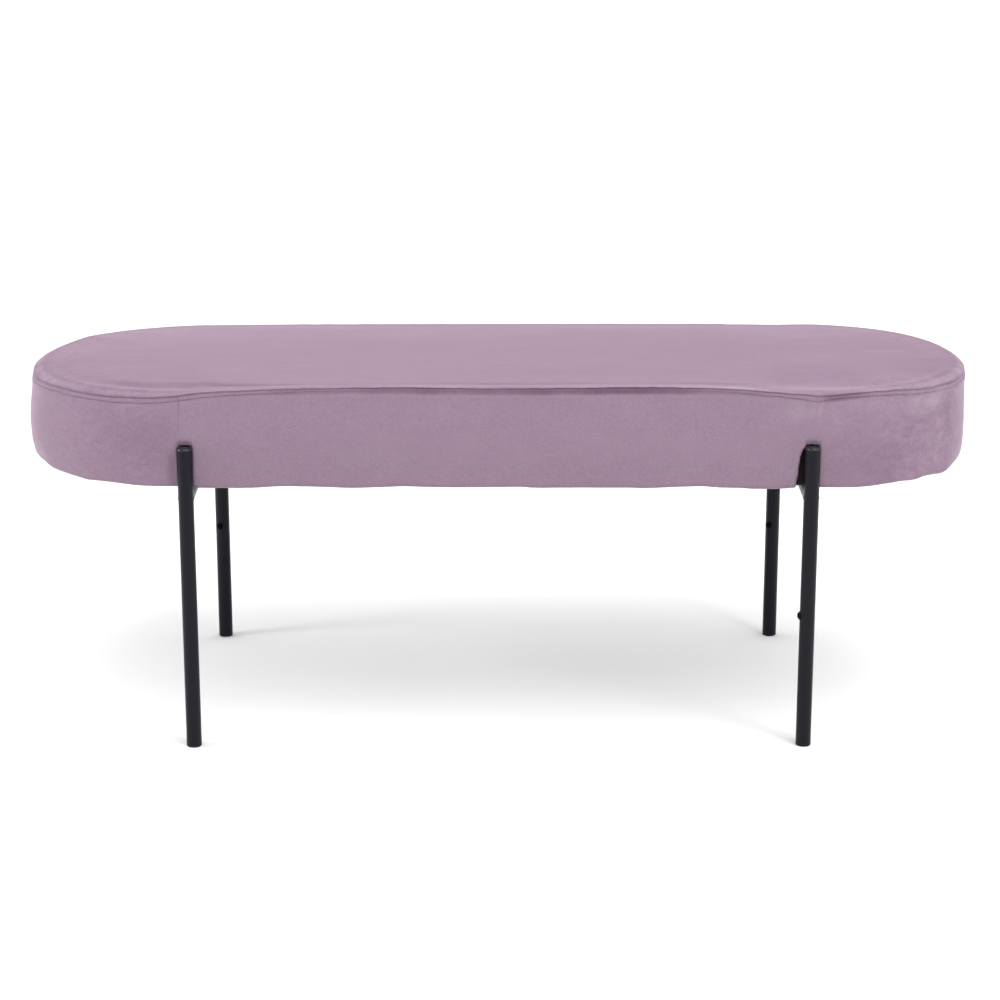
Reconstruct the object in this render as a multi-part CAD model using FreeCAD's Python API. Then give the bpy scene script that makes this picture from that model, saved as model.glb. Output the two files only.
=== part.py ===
import FreeCAD, Part
import os, math
os.makedirs("parts", exist_ok=True)

V = FreeCAD.Vector

# ---------------------------------------------------------------- dimensions
# Millimetres, +Z up, front of the bench toward -Y, origin on the floor at the
# centre of the footprint.
SEAT_LENGTH = 1200.0      # over the fullest line of the two round ends
SEAT_FULL_R = 208.0       # half depth at the fullest line of the band
SEAM_R = 203.5            # half depth at the top seam
LOW_R = 205.0             # half depth just above the bottom roll
Z_BOTTOM = 334.0          # underside of the cover hem
Z_FULL = 390.0            # height of the fullest line
Z_SEAM = 445.0            # seam height at the two ends
Z_SEAM_MID = 450.5        # seam height along the middle of the long sides
SEAM_TIP_DROP = 6.5       # the seam dips this much at the tips
Z_CROWN = 457.5           # top of the crowned seat
SHOULDER_R = 12.5         # roll of the top panel beside the seam, inward
SHOULDER_H = 6.5          # roll of the top panel beside the seam, upward
ROLL_R = 9.0              # roll of the bottom edge, inward
ROLL_H = 7.0              # roll of the bottom edge, upward
END_X = SEAT_LENGTH / 2 - SEAT_FULL_R    # centres of the round ends

COVER_T = 1.5             # velvet with its backing
WRAP_T = 6.0              # fibre wadding
HEM_R = 150.0             # inner edge of the cover hem under the board
SIDE_SEAM_L = -389.5      # upright seam of the band, left end
SIDE_SEAM_R = 386.0       # upright seam of the band, right end
GAP = 0.1                 # clearance between soft layers

BOARD_T = 15.0
BOARD_R = 186.0
Z_BOARD = Z_BOTTOM + COVER_T + GAP

STAPLE_T = 0.6            # crown height of a staple
STAPLE_W = 10.0
STAPLE_B = 1.2
STAPLE_LEG = 6.5
DUST_T = 0.6
DUST_R = 177.0
Z_DUST = Z_BOTTOM - STAPLE_T - 0.05 - DUST_T

TUBE_D = 19.0
TUBE_WALL = 1.5
LEG_X = 383.0
LEG_Y = 211.0
LEG_TOP = 388.5
CAP_HEAD = 3.6
CAP_ROUND = 3.0
TAB_T = 3.0
TAB_REACH = 34.0          # end of a tab from the tube axis
TAB_W = 30.0
TAB_POS_Y = 118.0
CROSS_Z = Z_DUST - TUBE_D / 2 - 0.05     # cross tube, top under the seat
Z_TAB = Z_DUST - TAB_T - 0.05
BOLT_DX = 22.0
BOLT_D = 6.0

FOOT_SOLE = 3.0           # height of the plug's disc under the tube

SCREW_Z = {"front_left": 171.0, "front_right": 171.0,
           "rear_left": 163.0, "rear_right": 163.0}
SCREW_HEAD_D = 9.6
SCREW_HEAD_H = 2.4
# direction that the screw of each leg faces, degrees from +X
SCREW_DIR = {"front_left": 90.0, "front_right": 180.0,
             "rear_left": -107.0, "rear_right": -125.0}

LEGS = {"front_left": (-LEG_X, -LEG_Y), "front_right": (LEG_X, -LEG_Y),
        "rear_left": (-LEG_X, LEG_Y), "rear_right": (LEG_X, LEG_Y)}


# ---------------------------------------------------------------- helpers
def save(name, shape):
    shape.exportStep("parts/%s.step" % name)


def group(solids):
    return Part.makeCompound(solids)


def cyl(r, z0, z1, x=0.0, y=0.0):
    return Part.makeCylinder(r, z1 - z0, V(x, y, z0), V(0, 0, 1))


def stadium_prism(r, z0, z1):
    s = Part.makeBox(2 * END_X, 2 * r, z1 - z0, V(-END_X, -r, z0))
    for sx in (-1, 1):
        s = s.fuse(cyl(r, z0, z1, sx * END_X, 0))
    return s.removeSplitter()


def quarter(cx, cz, a, b, t0, t1):
    """Points of an ellipse arc in the (r, z) plane."""
    pts = []
    for i in range(7):
        t = t0 + (t1 - t0) * i / 6.0
        pts.append(V(cx + a * math.cos(t), 0, cz + b * math.sin(t)))
    return pts


def spline(pts):
    c = Part.BSplineCurve()
    c.interpolate(pts)
    return c.toShape()


def half_profile(o):
    """Edges of half the seat section, inset by o, from the axis at the
    bottom to the axis at the top."""
    rf, rs, rl = SEAT_FULL_R - o, SEAM_R - o, LOW_R - o
    zb = Z_BOTTOM + o
    rr, rh = max(ROLL_R - o, 5.0), max(ROLL_H - o, 4.0)
    sr, sh = max(SHOULDER_R - 0.5 * o, 5.0), max(SHOULDER_H - 0.35 * o, 3.0)
    zt = Z_CROWN - o
    zs = Z_SEAM + SHOULDER_H - o - sh
    e = [Part.makeLine(V(0, 0, zb), V(rl - rr, 0, zb))]
    e.append(spline(quarter(rl - rr, zb + rh, rr, rh, -math.pi / 2, 0)))
    e.append(Part.Arc(V(rl, 0, zb + rh), V(rf, 0, Z_FULL), V(rs, 0, zs)).toShape())
    e.append(spline(quarter(rs - sr, zs, sr, sh, 0, math.pi / 2)))
    zc = zs + sh
    rc = rs - sr
    mid = 0.5 * rc
    h = zt - zc
    big = (rc * rc + h * h) / (2 * h)
    zm = zt - big + math.sqrt(big * big - mid * mid)
    e.append(Part.Arc(V(rc, 0, zc), V(mid, 0, zm), V(0, 0, zt)).toShape())
    return e, zb, zt


def seat_blob(o, dent):
    """Solid of the padded seat inset by o, with a dent of the given radius
    for each leg."""
    edges, zb, zt = half_profile(o)
    axis = Part.makeLine(V(0, 0, zt), V(0, 0, zb))
    face = Part.Face(Part.Wire(edges + [axis]))
    # middle length: half section extruded along X, then mirrored in Y
    sec = face.copy()
    sec.rotate(V(0, 0, 0), V(0, 0, 1), -90)       # r now runs toward -Y
    sec.translate(V(-END_X, 0, 0))
    front = sec.extrude(V(2 * END_X, 0, 0))
    rear = front.mirror(V(0, 0, 0), V(0, 1, 0))
    body = front.fuse(rear)
    for sx in (-1, 1):
        rev = face.copy()
        rev.rotate(V(0, 0, 0), V(0, 0, 1), -90)
        end = rev.revolve(V(0, 0, 0), V(0, 0, 1), 180 if sx > 0 else -180)
        end.translate(V(sx * END_X, 0, 0))
        body = body.fuse(end)
    body = body.removeSplitter()
    for x, y in LEGS.values():
        tool = cyl(dent, 300, LEG_TOP + dent - 8.0, x, y)
        tool = tool.makeFillet(min(dent - 1.5, 7.0), [tool.Edges[0]] if tool.Edges[0].CenterOfMass.z > 350 else [max(tool.Edges, key=lambda e: e.CenterOfMass.z)])
        body = body.cut(tool)
    return body.Solids[0] if len(body.Solids) == 1 else body


def seam_height(x):
    """Height of the top seam along the length."""
    t = (406.0 - abs(x)) / 170.0
    t = min(max(t, 0.0), 1.0)
    t = t * t * (3 - 2 * t)
    d = (abs(x) - 500.0) / 95.0
    d = min(max(d, 0.0), 1.0)
    d = d * d * (3 - 2 * d)
    return Z_SEAM + 0.6 + (Z_SEAM_MID - Z_SEAM - 0.6) * t - SEAM_TIP_DROP * d


def seam_cutter(dz, up):
    """Block above (up) or below the seam surface shifted by dz."""
    xs = [-700 + 1400 * i / 70.0 for i in range(71)]
    pts = [V(x, -300, seam_height(x) + dz) for x in xs]
    top = spline(pts)
    zz = 520 if up else 300
    a, b = pts[0], pts[-1]
    w = Part.Wire([top, Part.makeLine(b, V(b.x, -300, zz)),
                   Part.makeLine(V(b.x, -300, zz), V(a.x, -300, zz)),
                   Part.makeLine(V(a.x, -300, zz), a)])
    return Part.Face(w).extrude(V(0, 600, 0))


def path_points(r, spacing):
    """Points and tangent angles evenly spaced round a stadium of radius r."""
    straight = 2 * END_X
    arc = math.pi * r
    total = 2 * straight + 2 * arc
    n = int(round(total / spacing))
    out = []
    for i in range(n):
        s = (i + 0.5) * total / n
        if s < straight:
            out.append((-END_X + s, -r, 0.0))
        elif s < straight + arc:
            a = -math.pi / 2 + (s - straight) / r
            out.append((END_X + r * math.cos(a), r * math.sin(a), math.degrees(a) + 90))
        elif s < 2 * straight + arc:
            out.append((END_X - (s - straight - arc), r, 180.0))
        else:
            a = math.pi / 2 + (s - 2 * straight - arc) / r
            out.append((-END_X + r * math.cos(a), r * math.sin(a), math.degrees(a) + 90))
    return out


def staple(x, y, ang, z_under, grow=0.0):
    """One staple: crown under z_under, two legs pointing up. With grow, only
    the two legs, enlarged, as the tool that makes room for them."""
    legs = []
    for sx in (-1, 1):
        x0 = sx * (STAPLE_W / 2 - 0.6) - 0.6 if sx > 0 else -STAPLE_W / 2
        legs.append(Part.makeBox(1.2 + 2 * grow, STAPLE_B + 2 * grow,
                                 STAPLE_LEG + 2 * grow + (5.0 if grow else 0.0),
                                 V(x0 - grow, -STAPLE_B / 2 - grow, z_under - (5.0 if grow else 0.0))))
    if grow:
        s = Part.makeCompound(legs)
    else:
        crown = Part.makeBox(STAPLE_W, STAPLE_B, STAPLE_T, V(-STAPLE_W / 2, -STAPLE_B / 2, z_under - STAPLE_T))
        s = crown.fuse(legs[0]).fuse(legs[1]).removeSplitter()
    s.rotate(V(0, 0, 0), V(0, 0, 1), ang)
    s.translate(V(x, y, 0))
    return s


# ---------------------------------------------------------------- fasteners
HOLES = [(lx + dx, sy * TAB_POS_Y) for lx in (-LEG_X, LEG_X)
         for dx in (-BOLT_DX, BOLT_DX) for sy in (-1, 1)]

bolts, washers, tnuts = [], [], []
for x, y in HOLES:
    z = Z_TAB - 1.2 - 0.04
    hexa = []
    for k in range(7):
        a = math.radians(60 * k)
        hexa.append(V(x + 10.0 / math.sqrt(3) * math.cos(a), y + 10.0 / math.sqrt(3) * math.sin(a), z - 4.0))
    head = Part.Face(Part.makePolygon(hexa)).extrude(V(0, 0, 4.0))
    cone = Part.makeCone(4.7, 8.2, 3.5, V(x, y, z - 4.0), V(0, 0, 1)).fuse(cyl(8.2, z - 0.5, z, x, y))
    head = head.common(cone)
    bolts.append(head.fuse(cyl(BOLT_D / 2, z - 0.01, Z_BOARD + BOARD_T - 3.0, x, y)).removeSplitter())
    washers.append(cyl(6.25, z + 0.02, z + 1.2, x, y).cut(cyl(3.2, z - 1, z + 3, x, y)))
    zt = Z_BOARD + BOARD_T
    flange = cyl(8.5, zt + 0.02, zt + 1.2, x, y)
    barrel = cyl(3.9, zt - 9.0, zt + 0.5, x, y)
    tnuts.append(flange.fuse(barrel).cut(cyl(3.05, zt - 20, zt + 5, x, y)).removeSplitter())
save("frame_bolts", group(bolts))
save("frame_washers", group(washers))
save("t_nuts", group(tnuts))

hem_pts = path_points(163.0, 45.0)
dust_pts = path_points(171.0, 55.0)
save("hem_staples", group([staple(x, y, a, Z_BOTTOM - 0.02) for x, y, a in hem_pts]))
save("dust_cover_staples", group([staple(x, y, a, Z_DUST - 0.02) for x, y, a in dust_pts]))
hem_holes = group([staple(x, y, a, Z_BOTTOM, 0.08) for x, y, a in hem_pts])
dust_holes = group([staple(x, y, a, Z_DUST, 0.08) for x, y, a in dust_pts])

# ---------------------------------------------------------------- seat board
board = stadium_prism(BOARD_R, Z_BOARD, Z_BOARD + BOARD_T)
edge_pick = [e for e in board.Edges if abs(e.CenterOfMass.z - Z_BOARD) < 0.01 or abs(e.CenterOfMass.z - Z_BOARD - BOARD_T) < 0.01]
board = board.makeChamfer(1.0, edge_pick)
for x, y in HOLES:
    board = board.cut(cyl(4.0, Z_BOARD - 1, Z_BOARD + BOARD_T + 1, x, y))
board = board.cut(hem_holes).cut(dust_holes)
save("seat_board", board)

# ---------------------------------------------------------------- foam
foam = seat_blob(COVER_T + WRAP_T + 2 * GAP, TUBE_D / 2 + 4.0)
foam = foam.cut(Part.makeBox(1400, 600, 100, V(-700, -300, Z_BOARD + BOARD_T + GAP - 100)))
for x, y in HOLES:
    foam = foam.cut(cyl(8.8, Z_BOARD + BOARD_T - 1, Z_BOARD + BOARD_T + 1.5, x, y))
save("foam_block", foam)

# ---------------------------------------------------------------- wadding
inner = seat_blob(COVER_T + WRAP_T + GAP, TUBE_D / 2 + 3.9)
inner = inner.common(Part.makeBox(1400, 600, 300, V(-700, -300, Z_BOARD + BOARD_T)))
room = stadium_prism(BOARD_R + GAP, Z_BOTTOM - 20, Z_BOARD + BOARD_T + 0.01)
wrap = seat_blob(COVER_T + GAP, TUBE_D / 2 + 0.4 + COVER_T + GAP).cut(inner).cut(room)
save("fibre_wrap", wrap)

# ---------------------------------------------------------------- cover
skin = seat_blob(0.0, TUBE_D / 2 + 0.4).cut(seat_blob(COVER_T, TUBE_D / 2 + 0.4 + COVER_T))
skin = skin.cut(stadium_prism(HEM_R, Z_BOTTOM - 5, Z_BOTTOM + 5))
top_panel = skin.common(seam_cutter(0.05, True))
save("cover_top_panel", top_panel)
band = skin.common(seam_cutter(-0.05, False))
for name, box in (
        ("cover_band_front", Part.makeBox(SIDE_SEAM_R - SIDE_SEAM_L - 0.1, 300, 300, V(SIDE_SEAM_L + 0.05, -300, 300))),
        ("cover_band_rear", Part.makeBox(SIDE_SEAM_R - SIDE_SEAM_L - 0.1, 300, 300, V(SIDE_SEAM_L + 0.05, 0, 300))),
        ("cover_band_left", Part.makeBox(300, 600, 300, V(SIDE_SEAM_L - 300.05, -300, 300))),
        ("cover_band_right", Part.makeBox(300, 600, 300, V(SIDE_SEAM_R + 0.05, -300, 300)))):
    piece = band.common(box).cut(hem_holes)
    save(name, piece.Solids[0] if len(piece.Solids) == 1 else piece)

# ---------------------------------------------------------------- dust cover
dust = stadium_prism(DUST_R, Z_DUST, Z_DUST + DUST_T)
for x, y in HOLES:
    dust = dust.cut(cyl(3.6, Z_DUST - 1, Z_DUST + 2, x, y))
dust = dust.cut(dust_holes)
save("dust_cover", dust)

# ---------------------------------------------------------------- legs
for name, (x, y) in LEGS.items():
    a = math.radians(SCREW_DIR[name])
    d = V(math.cos(a), math.sin(a), 0)
    tube = cyl(TUBE_D / 2, FOOT_SOLE + 0.05, LEG_TOP - CAP_HEAD - 0.02, x, y)
    tube = tube.cut(cyl(TUBE_D / 2 - TUBE_WALL, -1, 400, x, y))
    tube = tube.cut(Part.makeCylinder(4.05, 12, V(x, y, SCREW_Z[name]) + d * 3, d))
    save(name + "_leg", tube)

    head = cyl(TUBE_D / 2, LEG_TOP - CAP_HEAD, LEG_TOP, x, y)
    rim = max(head.Edges, key=lambda e: e.CenterOfMass.z)
    head = head.makeFillet(CAP_ROUND, [rim])
    plug = cyl(TUBE_D / 2 - TUBE_WALL - 0.1, LEG_TOP - CAP_HEAD - 14, LEG_TOP - CAP_HEAD + 0.1, x, y)
    low = min(plug.Edges, key=lambda e: e.CenterOfMass.z)
    plug = plug.makeChamfer(1.0, [low])
    plug = plug.cut(cyl(5.6, LEG_TOP - CAP_HEAD - 20, LEG_TOP - CAP_HEAD - 1, x, y))
    save(name + "_top_cap", head.fuse(plug).removeSplitter())

    disc = cyl(TUBE_D / 2, 0, FOOT_SOLE, x, y)
    low = min(disc.Edges, key=lambda e: e.CenterOfMass.z)
    disc = disc.makeFillet(1.6, [low])
    spigot = cyl(TUBE_D / 2 - TUBE_WALL - 0.1, FOOT_SOLE - 0.5, 17.0, x, y)
    high = max(spigot.Edges, key=lambda e: e.CenterOfMass.z)
    spigot = spigot.makeChamfer(1.0, [high])
    spigot = spigot.cut(cyl(5.4, FOOT_SOLE, 30, x, y))
    save(name + "_foot_cap", disc.fuse(spigot).removeSplitter())

# button screws and the threaded inserts that they sit in, one per leg
screws, inserts = [], []
for name, (x, y) in LEGS.items():
    a = math.radians(SCREW_DIR[name])
    d = V(math.cos(a), math.sin(a), 0)
    c = V(x, y, SCREW_Z[name])
    body = Part.makeCylinder(4.0, 9.0, c + d * (TUBE_D / 2 - 8.6), d)
    flange = Part.makeCylinder(5.2, 0.8, c + d * (TUBE_D / 2 + 0.05), d)
    trim = cyl(TUBE_D / 2 + 0.03, c.z - 20, c.z + 20, x, y)
    bore = Part.makeCylinder(2.55, 30, c + d * (-2), d)
    inserts.append(body.fuse(flange.cut(trim)).cut(bore).removeSplitter())
    base = TUBE_D / 2 + 0.9
    ball_r = (SCREW_HEAD_D ** 2 / 4 + SCREW_HEAD_H ** 2) / (2 * SCREW_HEAD_H)
    dome = Part.makeSphere(ball_r, c + d * (base + SCREW_HEAD_H - ball_r))
    dome = dome.common(Part.makeCylinder(SCREW_HEAD_D, 6, c + d * base, d))
    shank = Part.makeCylinder(2.5, 9.0, c + d * (base - 8.8), d)
    scr = dome.fuse(shank).removeSplitter()
    hexa = []
    u = V(-math.sin(a), math.cos(a), 0)
    w = V(0, 0, 1)
    for k in range(7):
        t = math.radians(60 * k)
        hexa.append(c + d * (base + 1.0) + u * (2.31 * math.cos(t)) + w * (2.31 * math.sin(t)))
    socket = Part.Face(Part.makePolygon(hexa)).extrude(d * 6)
    screws.append(scr.cut(socket))
save("leg_screws", group(screws))
save("leg_screw_inserts", group(inserts))

# ---------------------------------------------------------------- cross tubes
for side, lx in (("left", -LEG_X), ("right", LEG_X)):
    tube = Part.makeCylinder(TUBE_D / 2, 2 * LEG_Y, V(lx, -LEG_Y, CROSS_Z), V(0, 1, 0))
    tube = tube.cut(Part.makeCylinder(TUBE_D / 2 - TUBE_WALL, 2 * LEG_Y + 2, V(lx, -LEG_Y - 1, CROSS_Z), V(0, 1, 0)))
    for sy in (-1, 1):
        tube = tube.cut(cyl(TUBE_D / 2 + 0.05, 280, 360, lx, sy * LEG_Y))
    solids = sorted(tube.Solids, key=lambda s: s.Volume)
    save(side + "_cross_tube", solids[-1])

    beads = []
    for sy in (-1, 1):
        fat_leg = cyl(TUBE_D / 2 + 1.8, 290, 345, lx, sy * LEG_Y)
        y0 = -LEG_Y if sy < 0 else LEG_Y - 30
        fat_tube = Part.makeCylinder(TUBE_D / 2 + 0.5, 30, V(lx, y0, CROSS_Z), V(0, 1, 0))
        bead = fat_leg.common(fat_tube)
        bead = bead.cut(cyl(TUBE_D / 2 + 0.05, 280, 350, lx, sy * LEG_Y))
        bead = bead.cut(Part.makeCylinder(TUBE_D / 2 + 0.04, 60, V(lx, sy * LEG_Y - 30, CROSS_Z), V(0, 1, 0)))
        bead = bead.cut(Part.makeBox(60, 60, 20, V(lx - 30, sy * LEG_Y - 30, CROSS_Z + TUBE_D / 2 - 0.3)))
        beads.append(max(bead.Solids, key=lambda s: s.Volume))
        bore = Part.makeCylinder(TUBE_D / 2 + 0.04, 60, V(lx, sy * TAB_POS_Y - 30, CROSS_Z), V(0, 1, 0))
        for sx in (-1, 1):
            x0 = lx + (4.0 if sx > 0 else -9.4)
            wedge = Part.makeBox(5.4, TAB_W - 4, 4.2, V(x0, sy * TAB_POS_Y - TAB_W / 2 + 2, Z_TAB - 4.24))
            beads.append(max(wedge.cut(bore).Solids, key=lambda s: s.BoundBox.ZMax))
            tab = Part.makeBox(TAB_REACH, TAB_W, TAB_T, V(lx if sx > 0 else lx - TAB_REACH, sy * TAB_POS_Y - TAB_W / 2, Z_TAB))
            far = [e for e in tab.Edges if abs(e.BoundBox.ZLength - TAB_T) < 0.01 and abs(e.CenterOfMass.x - lx) > 5]
            tab = tab.makeFillet(6.0, far).cut(bore)
            tab = tab.cut(cyl(3.3, Z_TAB - 1, Z_TAB + TAB_T + 1, lx + sx * BOLT_DX, sy * TAB_POS_Y))
            outer = (sx > 0) == (lx > 0)
            save("%s_%s_tab_%s" % (side, "front" if sy < 0 else "rear", "outer" if outer else "inner"),
                 max(tab.Solids, key=lambda s: s.Volume))
    save(side + "_weld_beads", group(beads))
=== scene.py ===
import bpy
import math
import numpy as np
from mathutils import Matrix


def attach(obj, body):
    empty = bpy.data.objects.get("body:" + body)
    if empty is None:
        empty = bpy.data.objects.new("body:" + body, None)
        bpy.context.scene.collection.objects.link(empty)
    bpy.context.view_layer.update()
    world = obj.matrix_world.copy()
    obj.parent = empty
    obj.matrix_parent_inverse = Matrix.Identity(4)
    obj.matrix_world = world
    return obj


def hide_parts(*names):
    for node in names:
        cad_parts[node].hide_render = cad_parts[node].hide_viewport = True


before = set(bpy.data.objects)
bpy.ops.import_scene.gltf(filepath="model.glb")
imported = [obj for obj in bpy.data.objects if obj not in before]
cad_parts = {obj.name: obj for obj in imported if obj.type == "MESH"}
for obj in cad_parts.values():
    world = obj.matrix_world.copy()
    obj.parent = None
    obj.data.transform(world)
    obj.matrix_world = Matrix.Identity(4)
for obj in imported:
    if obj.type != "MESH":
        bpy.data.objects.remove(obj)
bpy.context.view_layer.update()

MM = 0.001

# ---------------------------------------------------------------- dimensions
# millimetres, as in the construction of the part
END_X = 392.0            # centres of the round ends of the seat
SEAM_R = 203.5
SEAT_FULL_R = 208.0
LOW_R = 205.0
Z_BOTTOM = 334.0
Z_FULL = 390.0
Z_CROWN = 457.5
ROLL_R = 9.0
ROLL_H = 7.0
HEM_R = 150.0
SEAM_X_LEFT = -389.5
SEAM_X_RIGHT = 386.0
LEG_X = 383.0
LEG_Y = 211.0
LEG_R = 9.5
LEG_TOP = 388.5
PERIM = 4 * END_X + 2 * math.pi * SEAM_R


def sstep(t):
    t = np.clip(t, 0.0, 1.0)
    return t * t * (3 - 2 * t)


# ---------------------------------------------------------------- smooth noise
def value_noise(x, y, seed, px=None):
    """Smooth noise in -1..1 on a lattice of unit cells; px wraps the lattice
    in x so that the noise closes round the seat."""
    xi = np.floor(x).astype(np.int64)
    yi = np.floor(y).astype(np.int64)
    fx, fy = x - xi, y - yi
    fx = fx * fx * fx * (fx * (fx * 6 - 15) + 10)
    fy = fy * fy * fy * (fy * (fy * 6 - 15) + 10)

    def h(a, b):
        if px:
            a = np.mod(a, px)
        n = (a * 374761393 + b * 668265263 + seed * 1442695041) & 0xFFFFFFFF
        n = ((n ^ (n >> 13)) * 1274126177) & 0xFFFFFFFF
        n = (n ^ (n >> 16)) & 0xFFFFFFFF
        return n / 2147483647.5 - 1.0

    a = h(xi, yi) * (1 - fx) + h(xi + 1, yi) * fx
    b = h(xi, yi + 1) * (1 - fx) + h(xi + 1, yi + 1) * fx
    return a * (1 - fy) + b * fy


def ring_noise(u, v, wave_u, wave_v, seed):
    """Noise over arc length u and height v, closed round the seat."""
    n = max(3, int(round(PERIM / wave_u)))
    return value_noise(u * n / PERIM, v / wave_v, seed, n)


# ---------------------------------------------------------------- columns
# Arc length u runs round the seam: 0 at the left tangent of the front side,
# then right along the front, round the right end, back along the rear and
# round the left end.
ARC = math.pi * SEAM_R
U_FRONT = (0.0, 2 * END_X)
U_RIGHT = (2 * END_X, 2 * END_X + ARC)
U_REAR = (2 * END_X + ARC, 4 * END_X + ARC)
U_LEFT = (4 * END_X + ARC, PERIM)


def u_of_front(x):
    if abs(x) <= END_X:
        return (x + END_X) % PERIM
    a = math.asin((abs(x) - END_X) / SEAM_R) * SEAM_R
    return (2 * END_X + a) if x > 0 else (PERIM - a)


def u_of_rear(x):
    if abs(x) <= END_X:
        return U_REAR[0] + (END_X - x)
    a = math.asin((abs(x) - END_X) / SEAM_R) * SEAM_R
    return U_REAR[0] - a if x > 0 else U_REAR[1] + a


SEAMS_U = [u_of_front(SEAM_X_LEFT), u_of_front(SEAM_X_RIGHT), u_of_rear(SEAM_X_RIGHT), u_of_rear(SEAM_X_LEFT)]
LEGS_U = [u_of_front(-LEG_X), u_of_front(LEG_X), u_of_rear(LEG_X), u_of_rear(-LEG_X)]
STEP = 2.2


def ring_dist(u, c):
    d = np.abs(np.mod(u - c + PERIM / 2, PERIM) - PERIM / 2)
    return d


def build_columns():
    """Column positions: even along the seat, finer at the upright seams and
    at the legs."""
    fine = np.arange(0.0, PERIM, 0.25)
    dens = np.full(len(fine), 1.0 / STEP)
    for c in SEAMS_U:
        d = ring_dist(fine, c)
        dens = np.maximum(dens, 1.6 * np.exp(-(d / 2.5) ** 2))
    for c in LEGS_U:
        d = ring_dist(fine, c)
        dens = np.maximum(dens, 0.8 * np.exp(-(d / 22.0) ** 4))
    cum = np.concatenate([[0], np.cumsum(dens * 0.25)])
    n = int(cum[-1])
    t = (np.arange(n)) * cum[-1] / n
    u = np.interp(t, cum, np.concatenate([fine, [PERIM]]))
    for c in SEAMS_U:
        u[np.argmin(ring_dist(u, c))] = c
    return np.sort(u)


U = build_columns()
NC = len(U)


def spine_of(u):
    """Spine point x and outward direction of each column."""
    cx = np.zeros_like(u)
    ang = np.zeros_like(u)
    f = (u < U_FRONT[1])
    cx[f] = u[f] - END_X
    ang[f] = -math.pi / 2
    r = (u >= U_RIGHT[0]) & (u < U_RIGHT[1])
    cx[r] = END_X
    ang[r] = -math.pi / 2 + (u[r] - U_RIGHT[0]) / SEAM_R
    b = (u >= U_REAR[0]) & (u < U_REAR[1])
    cx[b] = END_X - (u[b] - U_REAR[0])
    ang[b] = math.pi / 2
    l = (u >= U_LEFT[0])
    cx[l] = -END_X
    ang[l] = math.pi / 2 + (u[l] - U_LEFT[0]) / SEAM_R
    return cx, ang


CX, ANG = spine_of(U)
NX, NY = np.cos(ANG), np.sin(ANG)
XS = CX + SEAM_R * NX                 # x of each column on the seam circle
FRONT = NY < -0.02
FRONTNESS = sstep((-NY - 0.1) / 0.6)  # 1 along the front, 0 at the tips
# 1 at the very ends of the seat, 0 by half way round to the long sides
TIP = sstep((np.abs(NX) * (np.abs(CX) > END_X - 0.5) - 0.74) / 0.22)
TIP_LEFT = TIP * (CX < 0)
TIP_RIGHT = TIP * (CX > 0)

# ---------------------------------------------------------------- seam line
# Height of the top seam. Along the front it climbs from the round ends to
# the top corner of the long side; at the rear it stays low.
SEAM_FRONT = [(-392, 449.2), (-380, 450.9), (-365, 452.4), (-350, 453.5), (-335, 454.4), (-320, 455.3),
              (-300, 456.0), (-280, 457.0), (-250, 458.1), (-200, 458.6), (-150, 458.8), (-120, 459.3), (-60, 458.6),
              (0, 457.8), (60, 458.3), (125, 458.9), (150, 459.2), (185, 459.2), (230, 458.5), (265, 457.7),
              (290, 456.8), (310, 455.4), (330, 453.5), (350, 451.7), (368, 450.5), (382, 449.0), (390, 448.5)]
SEAM_LEFT = [(0, 449.2), (4, 448.1), (8, 446.8), (12, 446.3), (16, 445.9), (20, 445.2), (24, 444.6), (28, 444.2),
             (32, 444.5), (36, 444.5), (40, 444.4), (44, 444.6), (48, 444.5), (52, 444.2), (56, 443.5), (60, 442.7),
             (64, 441.9), (68, 441.0), (72, 440.7), (76, 441.1), (80, 441.8), (90, 442.0), (105, 440.9), (120, 440.6), (140, 442.4),
             (160, 444.4), (180, 445.3)]
SEAM_RIGHT = [(0, 448.6), (4, 449.2), (8, 450.2), (12, 450.9), (16, 451.0), (20, 451.4), (24, 451.0), (28, 450.3),
              (32, 448.9), (36, 447.3), (40, 446.0), (44, 445.2), (48, 444.3), (56, 443.2), (60, 442.9), (64, 443.3),
              (70, 443.8), (75, 444.8), (80, 445.0), (85, 444.2), (90, 442.8), (105, 440.4), (120, 440.6), (140, 443.6),
              (160, 446.0), (180, 447.0)]


def seam_line():
    z = np.full(NC, 447.0)
    f = U < U_FRONT[1]
    z[f] = np.interp(CX[f], [a for a, b in SEAM_FRONT], [b for a, b in SEAM_FRONT])
    deg = np.degrees(ANG)
    r = (U >= U_RIGHT[0]) & (U < U_RIGHT[1])
    z[r] = np.interp(deg[r] + 90, [a for a, b in SEAM_RIGHT], [b for a, b in SEAM_RIGHT])
    l = U >= U_LEFT[0]
    z[l] = np.interp(270 - deg[l], [a for a, b in SEAM_LEFT], [b for a, b in SEAM_LEFT])
    b = (U >= U_REAR[0]) & (U < U_REAR[1])
    z[b] = np.interp(CX[b], [-392, -300, -200, 0, 200, 300, 392], [445.3, 446.2, 447.6, 448.6, 448.6, 447.6, 447.0])
    # even out over a few mm, then a light waver of the sewing
    uu = np.arange(0, PERIM, 1.0)
    zz = np.interp(uu, U, z, period=PERIM)
    k = np.exp(-(np.arange(-12, 13) / 3.0) ** 2)
    k /= k.sum()
    zz = np.convolve(np.concatenate([zz[-12:], zz, zz[:12]]), k, "valid")
    z = np.interp(U, uu, zz, period=PERIM)
    z += 0.16 * ring_noise(U, U * 0, 46, 1, 3) + 0.22 * ring_noise(U, U * 0, 15, 1, 4) + 0.16 * ring_noise(U, U * 0, 6.5, 1, 6)
    return z


ZS = seam_line()
LIFT = sstep((ZS - 450.5) / 9.0) * (U < U_FRONT[1])     # 1 where the seam has climbed to the top corner


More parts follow.
